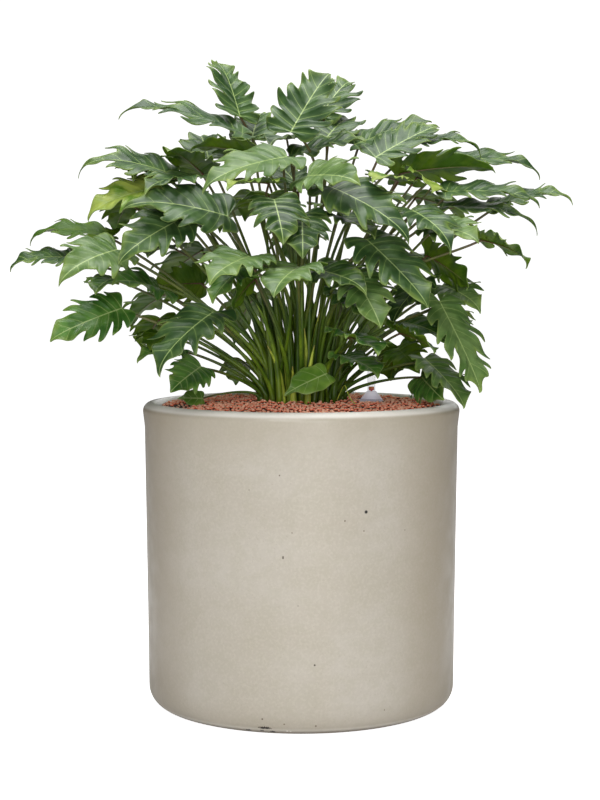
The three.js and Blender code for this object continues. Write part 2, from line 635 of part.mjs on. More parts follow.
keepFixed('gauge_tube', solidOf(turned([
  [TUBE_BORE, POT_FLOOR + GAP],
  [TUBE_RADIUS, POT_FLOOR + GAP],
  [TUBE_RADIUS, TUBE_TOP - TUBE_CAP],
  [TUBE_RADIUS - TUBE_CAP / 2, TUBE_TOP],
  [0, TUBE_TOP],
  [0, TUBE_TOP - TUBE_CAP],
  [TUBE_BORE, TUBE_TOP - TUBE_CAP],
  [TUBE_BORE, POT_FLOOR + GAP],
], TUBE_SIDES, GAUGE_X, GAUGE_Y)), 'clear');

keepFixed('gauge_skirt', solidOf(turned([
  [TUBE_RADIUS + GAP, SKIRT_FOOT],
  [SKIRT_RADIUS, SKIRT_FOOT],
  [SKIRT_RADIUS, SKIRT_BRIM],
  [SKIRT_WAIST_RADIUS, SKIRT_WAIST],
  [SKIRT_TOP_RADIUS, SKIRT_TOP],
  [TUBE_RADIUS + GAP, SKIRT_TOP],
  [TUBE_RADIUS + GAP, SKIRT_FOOT],
], SKIRT_SIDES, GAUGE_X, GAUGE_Y)), 'skirt');

keepFixed('gauge_float', solidOf(turned([
  [0, POT_FLOOR + GAP],
  [FLOAT_RADIUS, POT_FLOOR + GAP],
  [FLOAT_RADIUS, POT_FLOOR + FLOAT_LENGTH],
  [ROD_RADIUS, POT_FLOOR + FLOAT_LENGTH + FLOAT_SHOULDER],
  [ROD_RADIUS, MARK_LOW],
  [FLOAT_RADIUS, MARK_LOW],
  [FLOAT_RADIUS, MARK_HIGH],
  [0, MARK_HIGH],
], FLOAT_SIDES, GAUGE_X, GAUGE_Y)), 'float');

const nodes = [...new Set(LEAVES.map((leaf) => leaf.node))];
const places = crownPlaces(nodes.length + SHEATH_TIPS.length);

const crownFoot = CROWN_RADIUS * CROWN_TAPER;
let crown = solidOf(bar(CROWN_RADIUS, CROWN_BOTTOM, CROWN_TOP, CROWN_SIDES, 0, 0, crownFoot));
for (const tip of SHEATH_TIPS) {
  const head = seen(tip);
  crown = crown.add(sheathSolid(takePlace(places, head), head));
}
keepFixed('crown', crown, 'stem');

// The leaves of each node. The lowest nodes take their places on the crown first, round its edge.
const bunches = nodes.map((node) => {
  const leaves = LEAVES.filter((leaf) => leaf.node === node);
  const heads = leaves.map((leaf) => seen(leaf.base));
  const middle = heads.reduce((sum, head) => sum.clone().add(head)).divideScalar(heads.length);
  return { leaves, middle };
});
const lowestFirst = [...bunches].sort((a, b) => a.middle.z - b.middle.z);
for (const bunch of lowestFirst) bunch.place = takePlace(places, bunch.middle);

// Their stalks stand in order of their direction round that place.
const items = bunches.flatMap(({ leaves, place }) => {
  const direction = (leaf) => Math.atan2(leaf.base[2] - place.y, leaf.base[0] - place.x);
  leaves.sort((a, b) => direction(a) - direction(b));
  const start = direction(leaves[0]);
  return leaves.map((leaf, i) => ({
    leaf,
    top: footTop(place, start + (2 * Math.PI * i) / leaves.length, leaves.length),
    foot: leaves.length > 1 && i === 0 ? withBox(footSolid(place, leaves.length)) : null,
  }));
});

for (const item of items) {
  const move = MOVES.find((candidate) => bladeFits(item, candidate));
  if (!move) throw new Error(`${item.leaf.node} finds no clear place at ${item.leaf.base}`);
  setBlade(item, move);
}
[...items].sort((a, b) => a.leaf.base[1] - b.leaf.base[1]).forEach(settleLeaf);

for (const node of nodes) {
  const own = items.filter((item) => item.leaf.node === node);
  const solids = own.flatMap((item) => [item.blade, item.stalk, item.foot])
    .filter(Boolean)
    .map((piece) => piece.solid);
  keep(node, solids.reduce((sum, solid) => sum.add(solid)), own[0].leaf.tone);
}

export default plant;
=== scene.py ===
# %% [markdown]
# # A potted philodendron xanadu, dressed in Blender
# The real object is a tall glazed pot filled with small clay granules. A dense dome of lobed leaves grows
# out of it on long stalks, and a water gauge stands beside the plant.
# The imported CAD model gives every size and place, so this lesson starts by loading it. Each later cell
# takes one plain CAD node and makes the finer piece that stands for it.

# %% Load the frame and keep its box
import math

import bmesh
import bpy
import numpy as np
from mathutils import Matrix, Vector
from mathutils.bvhtree import BVHTree


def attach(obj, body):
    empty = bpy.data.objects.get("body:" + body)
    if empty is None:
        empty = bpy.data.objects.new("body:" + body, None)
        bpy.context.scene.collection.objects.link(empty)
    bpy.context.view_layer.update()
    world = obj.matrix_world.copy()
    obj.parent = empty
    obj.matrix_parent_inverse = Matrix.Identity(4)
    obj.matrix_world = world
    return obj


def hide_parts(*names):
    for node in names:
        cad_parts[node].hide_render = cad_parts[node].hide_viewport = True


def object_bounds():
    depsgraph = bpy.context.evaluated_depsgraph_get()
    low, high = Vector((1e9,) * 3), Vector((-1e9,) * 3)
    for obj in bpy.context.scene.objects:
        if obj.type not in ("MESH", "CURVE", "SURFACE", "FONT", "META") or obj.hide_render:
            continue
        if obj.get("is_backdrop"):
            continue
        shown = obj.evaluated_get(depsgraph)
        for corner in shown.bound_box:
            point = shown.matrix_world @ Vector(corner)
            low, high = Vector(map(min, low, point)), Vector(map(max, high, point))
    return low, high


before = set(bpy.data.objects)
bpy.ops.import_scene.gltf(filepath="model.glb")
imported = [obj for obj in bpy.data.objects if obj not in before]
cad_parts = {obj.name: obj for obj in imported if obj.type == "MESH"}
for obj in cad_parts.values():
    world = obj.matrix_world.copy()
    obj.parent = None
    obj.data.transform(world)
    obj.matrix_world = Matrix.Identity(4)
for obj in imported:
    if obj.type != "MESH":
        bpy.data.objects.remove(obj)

CAD_BOX = [list(corner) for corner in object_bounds()]
MM = 0.001
print("CAD box in mm:", [[round(v / MM, 1) for v in corner] for corner in CAD_BOX])

# %% [markdown]
# ## Camera
# The photograph was taken from about two and a half metres, a little above the rim of the pot. The
# camera's place, pitch and lens were fitted to the rim's ellipse and to the pot's sides. A long lens from
# this distance keeps the pot's sides nearly parallel, as they are in the photograph.

# %% Camera
EYE_DISTANCE = 2476
EYE_HEIGHT = 592
EYE_ACROSS = -1.7
EYE_PITCH = 85.894
LENS = 82.0
SENSOR = 36.0

camera_data = bpy.data.cameras.new("camera")
camera_data.lens = LENS
camera_data.sensor_width = SENSOR
camera = bpy.data.objects.new("camera", camera_data)
camera.location = (EYE_ACROSS * MM, -EYE_DISTANCE * MM, EYE_HEIGHT * MM)
camera.rotation_euler = (math.radians(EYE_PITCH), 0.0, 0.0)
bpy.context.scene.collection.objects.link(camera)
bpy.context.scene.camera = camera
bpy.context.scene.view_settings.view_transform = "Standard"
print("camera at", [round(v, 3) for v in camera.location])

# %% [markdown]
# ## Materials made of nodes
# Every finish below is a small network of nodes on one Principled shader. Short helpers keep those
# networks readable. One adds a node and joins or sets its inputs, one eases a value between two ends, and
# one lays colours over each other, each by its own share. Colours are written as they look on a screen,
# from 0 to 255, and turned into the linear values that Blender works with.

# %% Helpers for materials
def srgb(red, green, blue):
    """A screen colour, 0 to 255, as linear red, green, blue and alpha."""
    parts = [c / 255 for c in (red, green, blue)]
    linear = [((c + 0.055) / 1.055) ** 2.4 if c > 0.04045 else c / 12.92 for c in parts]
    return (*linear, 1.0)


def new_finish(name, roughness=0.5):
    """A new material, its node tree and its Principled shader."""
    material = bpy.data.materials.new(name)
    material.use_nodes = True
    shader = material.node_tree.nodes["Principled BSDF"]
    shader.inputs["Roughness"].default_value = roughness
    return material, material.node_tree, shader


def feed(tree, target, value):
    """Joins a socket to an input, or sets a plain value on it."""
    if isinstance(value, bpy.types.NodeSocket):
        tree.links.new(value, target)
    else:
        target.default_value = value


def add(tree, kind, inputs, **settings):
    """Adds a shader node, sets it up and feeds its inputs."""
    node = tree.nodes.new("ShaderNode" + kind)
    for key, value in settings.items():
        setattr(node, key, value)
    for key, value in inputs.items():
        feed(tree, node.inputs[key], value)
    return node


def place_on_object(tree):
    return add(tree, "TexCoord", {}).outputs["Object"]


def attribute(tree, name):
    return add(tree, "Attribute", {}, attribute_name=name).outputs["Fac"]


def noise(tree, coordinates, scale, detail=2.0):
    inputs = {"Vector": coordinates, "Scale": scale, "Detail": detail}
    return add(tree, "TexNoise", inputs).outputs["Fac"]


def stretched(tree, coordinates, scale):
    """Coordinates scaled differently along each axis."""
    return add(tree, "Mapping", {"Vector": coordinates, "Scale": scale}).outputs["Vector"]


def between(tree, value, low, high, start=0.0, end=1.0):
    """Eases from start to end while the value goes from low to high."""
    inputs = {"Value": value, "From Min": low, "From Max": high, "To Min": start, "To Max": end}
    return add(tree, "MapRange", inputs, interpolation_type="SMOOTHSTEP").outputs["Result"]


def mixed(tree, share, first, second):
    return add(tree, "Mix", {0: share, 6: first, 7: second}, data_type="RGBA").outputs[2]


def layered(tree, colour, *layers):
    """Lays colours over a first one, each by the share that comes before it."""
    for share, over in layers:
        colour = mixed(tree, share, colour, over)
    return colour


def combined(tree, how, first, second):
    return add(tree, "Math", {0: first, 1: second}, operation=how).outputs[0]


def axis_of(tree, coordinates, axis):
    return add(tree, "SeparateXYZ", {"Vector": coordinates}).outputs[axis]


def add_bump(tree, shader, height, distance, strength=1.0):
    bump = add(tree, "Bump", {"Height": height, "Distance": distance, "Strength": strength})
    tree.links.new(bump.outputs["Normal"], shader.inputs["Normal"])


print("material helpers ready")

# %% [markdown]
# ## Floor and light
# The photograph shows the pot on pure white, with soft light from large sources above and in front and
# no hard shadow. A pale floor and a white surrounding give that ground: both look brighter to the camera
# than the light they send out. Large area lights do the modelling: a key light over the front left, a
# weaker one low on the right, one from above that lights the upper faces of the leaves, and one behind
# that keeps the back of the plant readable.

# %% Floor, surrounding and lights
FLOOR_SIZE = 20.0
FLOOR_DROP = 0.0006
WHITE = (1, 1, 1, 1)
PLANT_MIDDLE = Vector((0, 0, 0.45))

floor_mesh = bpy.data.meshes.new("floor")
floor_bm = bmesh.new()
bmesh.ops.create_grid(floor_bm, x_segments=1, y_segments=1, size=FLOOR_SIZE)
bmesh.ops.translate(floor_bm, verts=floor_bm.verts, vec=(0, 0, -FLOOR_DROP))
floor_bm.to_mesh(floor_mesh)
floor_bm.free()
floor = bpy.data.objects.new("floor", floor_mesh)
bpy.context.scene.collection.objects.link(floor)
floor_finish, tree, shader = new_finish("pale_floor", 0.9)
shader.inputs["Base Color"].default_value = (0.86, 0.86, 0.86, 1)
shader.inputs["Emission Color"].default_value = WHITE
seen = add(tree, "LightPath", {}).outputs["Is Camera Ray"]
feed(tree, shader.inputs["Emission Strength"], between(tree, seen, 0, 1, 0.1, 1.0))
floor_mesh.materials.append(floor_finish)
floor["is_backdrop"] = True

world = bpy.data.worlds.new("white_studio")
world.use_nodes = True
bpy.context.scene.world = world
tree = world.node_tree
surround = tree.nodes["Background"]
surround.inputs["Color"].default_value = WHITE
surround.inputs["Strength"].default_value = 0.09
seen_white = add(tree, "Background", {"Color": WHITE, "Strength": 1.1})
seen = add(tree, "LightPath", {}).outputs["Is Camera Ray"]
grounds = {0: seen, 1: surround.outputs["Background"], 2: seen_white.outputs["Background"]}
chooser = add(tree, "MixShader", grounds)
tree.links.new(chooser.outputs["Shader"], tree.nodes["World Output"].inputs["Surface"])


def soft_light(name, place, size, power):
    """A square area light that looks at the middle of the plant."""
    data = bpy.data.lights.new(name, "AREA")
    data.size = size
    data.energy = power
    lamp = bpy.data.objects.new(name, data)
    lamp.location = place
    lamp.rotation_euler = (PLANT_MIDDLE - Vector(place)).to_track_quat("-Z", "Y").to_euler()
    bpy.context.scene.collection.objects.link(lamp)


soft_light("key_light", (-0.7, -2.9, 1.8), 1.4, 31)
soft_light("fill_light", (0.55, -2.85, 0.72), 1.2, 24)
soft_light("top_light", (0.0, 0.0, 2.6), 1.6, 60)
soft_light("back_light", (0.6, 2.7, 1.7), 2.0, 16)
print("floor, surrounding and 4 lights")

# %% [markdown]
# ## Making a mesh into a piece
# Every piece is shaped in a bmesh and then turned into an object that sits untransformed at the origin,
# with its place in its mesh, as the CAD nodes do. The same function hangs the piece on the body that it
# rides on and hides the CAD nodes that it stands for.

# %% Helper that finishes a piece
def finish_piece(name, bm, finishes, slot, *nodes):
    """Turns a bmesh into a smooth piece that rides on the body and replaces CAD nodes."""
    mesh = bpy.data.meshes.new(name)
    for face in bm.faces:
        face.smooth = True
    bm.to_mesh(mesh)
    bm.free()
    for finish in finishes:
        mesh.materials.append(finish)
    piece = bpy.data.objects.new(name, mesh)
    bpy.context.scene.collection.objects.link(piece)
    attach(piece, "root")
    if nodes:
        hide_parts(*nodes)
    return piece


def triangles(piece):
    return sum(len(face.vertices) - 2 for face in piece.data.polygons)


def spin_profile(bm, profile, steps, across=0.0, back=0.0):
    """Spins a profile of (radius, height) in mm once round an upright axis."""
    start = [bm.verts.new(((across + r) * MM, back * MM, z * MM)) for r, z in profile]
    line = [bm.edges.new(pair) for pair in zip(start, start[1:])]
    bmesh.ops.spin(
        bm, geom=start + line, cent=(across * MM, back * MM, 0), axis=(0, 0, 1),
        angle=2 * math.pi, steps=steps, use_merge=True,
    )
    bmesh.ops.remove_doubles(bm, verts=bm.verts, dist=1e-6)
    bmesh.ops.recalc_face_normals(bm, faces=bm.faces)


print("piece helpers ready")

# %% [markdown]
# ## The pot
# The pot is a thick-walled stoneware cylinder that widens a little from its rounded foot to a fully
# rounded lip. Such a pot is turned on a wheel, so the natural way to model it is the same: draw half of
# its section and spin it. The lip gets many short steps, because its highlight shows every corner.

# %% Pot: section and spin
POT_HEIGHT = 413
RIM_RADIUS = 215
LIP_RADIUS = 12
NECK_RADIUS = 212.5
NECK_HEIGHT = 380
FOOT_RADIUS = 208.5
FOOT_ROUNDING = 27
FOOT_FLAT = 120
WALL_POINTS = [(FOOT_RADIUS + 1.2, 140), (FOOT_RADIUS + 2.6, 260)]
POT_FLOOR = 16
FLOOR_RADIUS = 165
COVE_RADIUS = 189
COVE_HEIGHT = 60
POT_STEPS = 144
ARC_FOOT, ARC_LIP = 12, 20


def arc(centre_radius, centre_height, radius, start, end, steps):
    """Points of (radius, height) along part of a circle, by angles in degrees."""
    angles = [math.radians(start + (end - start) * i / steps) for i in range(steps + 1)]
    return [
        (centre_radius + radius * math.cos(a), centre_height + radius * math.sin(a)) for a in angles
    ]


pot_section = [
    (0, 0),
    (FOOT_FLAT, 0),
    *arc(FOOT_RADIUS - FOOT_ROUNDING, FOOT_ROUNDING, FOOT_ROUNDING, -90, 0, ARC_FOOT),
    *WALL_POINTS,
    (NECK_RADIUS, NECK_HEIGHT),
    *arc(RIM_RADIUS - LIP_RADIUS, POT_HEIGHT - LIP_RADIUS, LIP_RADIUS, 0, 180, ARC_LIP),
    (COVE_RADIUS, COVE_HEIGHT),
    (FLOOR_RADIUS, POT_FLOOR),
    (0, POT_FLOOR),
]
pot_bm = bmesh.new()
spin_profile(pot_bm, pot_section, POT_STEPS)
print("pot section points:", len(pot_section), "faces:", len(pot_bm.faces))

# %% [markdown]
# ## The glaze
# The glaze is a warm taupe cream, satin to glossy, with fine mottling, faint upright runs and throwing
# lines, and a paler band over the lip, partly where the glaze breaks and partly a painted highlight. The
# pot's left and right edges, a band under the lip and the foot are darkened with painted shade, the right
# edge has a painted reflection, and the inside wall is painted lighter. It has a few small flaws that a
# maker would know: one dark pinhole, some specks, a hairline, and brown chips at the foot; two glints at
# the foot beside them are painted highlights. Each flaw and glint is read as a pixel of the photograph.
# The camera's ray through that pixel is followed to the wall, and the mark is drawn as a distance from the
# point it meets, in object coordinates.

# %% Glaze: flaws and painted glints placed on the wall
IMAGE_WIDTH = 600
IMAGE_HEIGHT = 800
WALL_ROUNDS = 6
# Each flaw or painted glint: its pixel, its radius in mm and its colour.
FLAWS_AND_GLINTS = {
    "pinhole": ((366.2, 512), 2.9, srgb(14, 11, 9)),
    "speck_low_right": ((345, 521), 1.4, srgb(104, 90, 74)),
    "speck_high": ((279.5, 475.5), 1.3, srgb(112, 98, 82)),
    "speck_left": ((249, 490), 1.0, srgb(120, 106, 90)),
    "speck_beside": ((364, 531), 1.3, srgb(120, 105, 88)),
    "speck_far_right": ((405, 530), 1.1, srgb(116, 102, 86)),
    "speck_middle": ((292, 533), 1.1, srgb(116, 102, 86)),
    "speck_low": ((298, 606), 1.0, srgb(120, 106, 90)),
    "speck_near_foot": ((384.5, 710), 1.2, srgb(112, 98, 82)),
    "crack_top": ((283, 557), 1.5, srgb(96, 84, 70)),
    "crack_end": ((283, 558.2), 1.5, srgb(84, 72, 58)),
    "pit": ((314.7, 665.3), 1.7, srgb(74, 64, 52)),
    "foot_speck_left": ((262.2, 719.2), 1.6, srgb(88, 76, 62)),
    "foot_speck_middle": ((284.2, 724.4), 1.5, srgb(120, 106, 90)),
    "foot_speck_right": ((315.8, 726.2), 1.7, srgb(104, 90, 74)),
    # Two painted glints: painted highlights at the foot.
    "painted_glint_left": ((287.2, 731.2), 1.9, srgb(236, 232, 224)),
    "painted_glint_right": ((290.6, 731.6), 1.6, srgb(226, 222, 212)),
}
# Each chip: its pixel, half its length and half its height, in mm.
CHIPS = [
    ((248.8, 730.0), 5.4, 2.2),
    ((265.0, 727.9), 11.5, 2.6),
    ((262.0, 730.6), 3.2, 2.6),
    ((272.8, 731.6), 4.8, 1.8),
]
CHIP_BROWN = srgb(30, 21, 13)


def wall_point(pixel_x, pixel_y):
    """The point on the pot's wall that the camera sees at a pixel, in metres.

    The wall's radius changes with the height, so ray and radius are matched in a few rounds.
    """
    eye = Vector((EYE_ACROSS, -EYE_DISTANCE, EYE_HEIGHT))
    pixel_size = camera_data.sensor_width / IMAGE_HEIGHT
    on_sensor = ((pixel_x - IMAGE_WIDTH / 2) * pixel_size, (IMAGE_HEIGHT / 2 - pixel_y) * pixel_size)
    ray = camera.rotation_euler.to_matrix() @ Vector((*on_sensor, -camera_data.lens))
    a = ray.x ** 2 + ray.y ** 2
    b = eye.x * ray.x + eye.y * ray.y
    radius = FOOT_RADIUS
    for _ in range(WALL_ROUNDS):
        c = eye.x ** 2 + eye.y ** 2 - radius ** 2
        place = eye + ray * ((-b - math.sqrt(b * b - a * c)) / a)
        sunk = min(FOOT_ROUNDING, max(0, FOOT_ROUNDING - place.z))
        radius = FOOT_RADIUS + (NECK_RADIUS - FOOT_RADIUS) * min(1, max(0, place.z / NECK_HEIGHT))
        radius -= FOOT_ROUNDING - math.sqrt(FOOT_ROUNDING ** 2 - sunk ** 2)
    return place * MM


def spot(tree, coordinates, centre, radius):
    """One inside a round spot of a radius in mm, easing to zero at its edge."""
    node = add(tree, "VectorMath", {0: coordinates, 1: centre}, operation="DISTANCE")
    return between(tree, node.outputs["Value"], radius * MM, 0.45 * radius * MM)


def chip(tree, coordinates, centre, half_length, half_height):
    """One inside a long, ragged chip of the glaze, easing to zero at its edge."""
    squash = half_length / half_height
    flat = stretched(tree, coordinates, (1, 1, squash))
    middle = (centre.x, centre.y, centre.z * squash)
    node = add(tree, "VectorMath", {0: flat, 1: middle}, operation="DISTANCE")
    edge = half_length * MM
    ragged = between(tree, noise(tree, coordinates, 620.0, 2.0), 0.35, 0.65, 0, 0.4 * edge)
    reach = combined(tree, "ADD", node.outputs["Value"], ragged)
    return between(tree, reach, edge, 0.8 * edge)


print("pinhole at", [round(v / MM, 1) for v in wall_point(*FLAWS_AND_GLINTS["pinhole"][0])], "mm")

# %% Glaze: material
glaze, tree, shader = new_finish("satin_taupe_glaze", 0.28)
here = place_on_object(tree)
cloud = noise(tree, stretched(tree, here, (5, 5, 9)), 1.0, 2.0)
speckle = noise(tree, here, 420.0, 1.0)
runs = noise(tree, stretched(tree, here, (9, 9, 1.2)), 1.0, 2.0)
turning = noise(tree, stretched(tree, here, (4, 4, 90)), 1.0, 3.0)
mottle = noise(tree, stretched(tree, here, (55, 55, 75)), 1.0, 5.0)
grain = noise(tree, here, 300.0, 2.0)
height = axis_of(tree, here, "Z")
across = axis_of(tree, here, "X")

body = layered(
    tree, mixed(tree, between(tree, cloud, 0.3, 0.7), srgb(184, 176, 161), srgb(193, 186, 174)),
    (between(tree, runs, 0.4, 0.8, 0, 0.4), srgb(182, 172, 154)),
    (between(tree, turning, 0.4, 0.75, 0, 0.12), srgb(182, 172, 156)),
    (between(tree, mottle, 0.42, 0.62, 0, 0.25), srgb(176, 170, 150)),
    (between(tree, grain, 0.42, 0.7, 0, 0.24), srgb(210, 203, 190)),
    (between(tree, speckle, 0.62, 0.78, 0, 0.35), srgb(166, 155, 138)),
)

# Painted shade: the pot's right and left edges are darkened.
painted_shade_right = between(tree, across, 0.10, 0.200, 0, 0.7)
painted_shade_left = between(tree, across, -0.13, -0.205, 0, 0.75)
# Painted reflection: dark upright streaks near the pot's right edge.
painted_reflection_streaks = between(tree, noise(tree, stretched(tree, here, (60, 60, 9)), 1.0, 3.0), 0.45, 0.6)
painted_reflection_band = combined(tree, "MULTIPLY", between(tree, across, 0.196, 0.2045), painted_reflection_streaks)
painted_reflection_band = combined(tree, "MULTIPLY", painted_reflection_band, between(tree, height, 0.12, 0.3, 0, 0.22))
# Painted shade: darker under the lip.
painted_shade_under_lip = between(tree, height, 0.34, 0.4, 0, 0.45)
# Painted shade: darker towards the foot.
painted_shade_foot = between(tree, height, 0.045, 0.0, 0, 0.5)
# Painted light: the inside wall is lighter, which also takes the painted edge shade off it.
from_axis = add(tree, "VectorMath", {0: stretched(tree, here, (1, 1, 0))}, operation="LENGTH")
inner_wall_painted_light = between(tree, from_axis.outputs["Value"], 0.204, 0.198)
# A paler band over the lip: partly where the glaze breaks, partly a painted highlight.
lip_break_and_painted_highlight = between(tree, height, 0.4045, 0.4085, 0, 0.85)
# Painted shade: a dark brown line right at the foot.
painted_shade_foot_ring = between(tree, height, 0.010, 0.004, 0, 0.75)
body = layered(
    tree, body,
    (painted_shade_right, srgb(158, 144, 120)),
    (painted_reflection_band, srgb(128, 110, 86)),
    (painted_shade_under_lip, srgb(172, 162, 142)),
    (painted_shade_left, srgb(160, 147, 126)),
    (painted_shade_foot, srgb(160, 150, 134)),
    (inner_wall_painted_light, srgb(234, 229, 218)),
    (lip_break_and_painted_highlight, srgb(230, 226, 217)),
    (painted_shade_foot_ring, srgb(98, 80, 54)),
)
for pixel, radius, colour in FLAWS_AND_GLINTS.values():
    body = mixed(tree, spot(tree, here, wall_point(*pixel), radius), body, colour)
for pixel, half_length, half_height in CHIPS:
    chipped = chip(tree, here, wall_point(*pixel), half_length, half_height)
    body = mixed(tree, chipped, body, CHIP_BROWN)
feed(tree, shader.inputs["Base Color"], body)

rough = between(tree, noise(tree, here, 30.0, 3.0), 0.35, 0.65, 0.32, 0.46)
feed(tree, shader.inputs["Roughness"], rough)
shader.inputs["Coat Weight"].default_value = 0.14
shader.inputs["Coat Roughness"].default_value = 0.18
ripple = noise(tree, here, 60.0, 2.0)
for texture, share in ((mottle, 0.5), (grain, 0.2)):
    ripple = combined(tree, "ADD", ripple, combined(tree, "MULTIPLY", texture, share))
add_bump(tree, shader, ripple, 0.0006, 0.7)

pot = finish_piece("glazed_pot", pot_bm, [glaze], "glazed_pot", "pot")
print("pot:", triangles(pot), "triangles")

# %% [markdown]
# ## The leaves' table
# The plant carries 89 leaves here. Each one in this table has the node it belongs to, the base and the tip
# of its blade, its width, how far its midrib arches, its roll, how deep its lobes are cut and its tone.
# Across and up are read on the upright plane through the pot's axis, as the camera sees them, and depth is
# measured away from the camera. Base, tip, width, arch and roll are the values that shape the CAD solids,
# so that the fine leaves lie where the plain ones do. The cut and the tone are looks, and are set here.

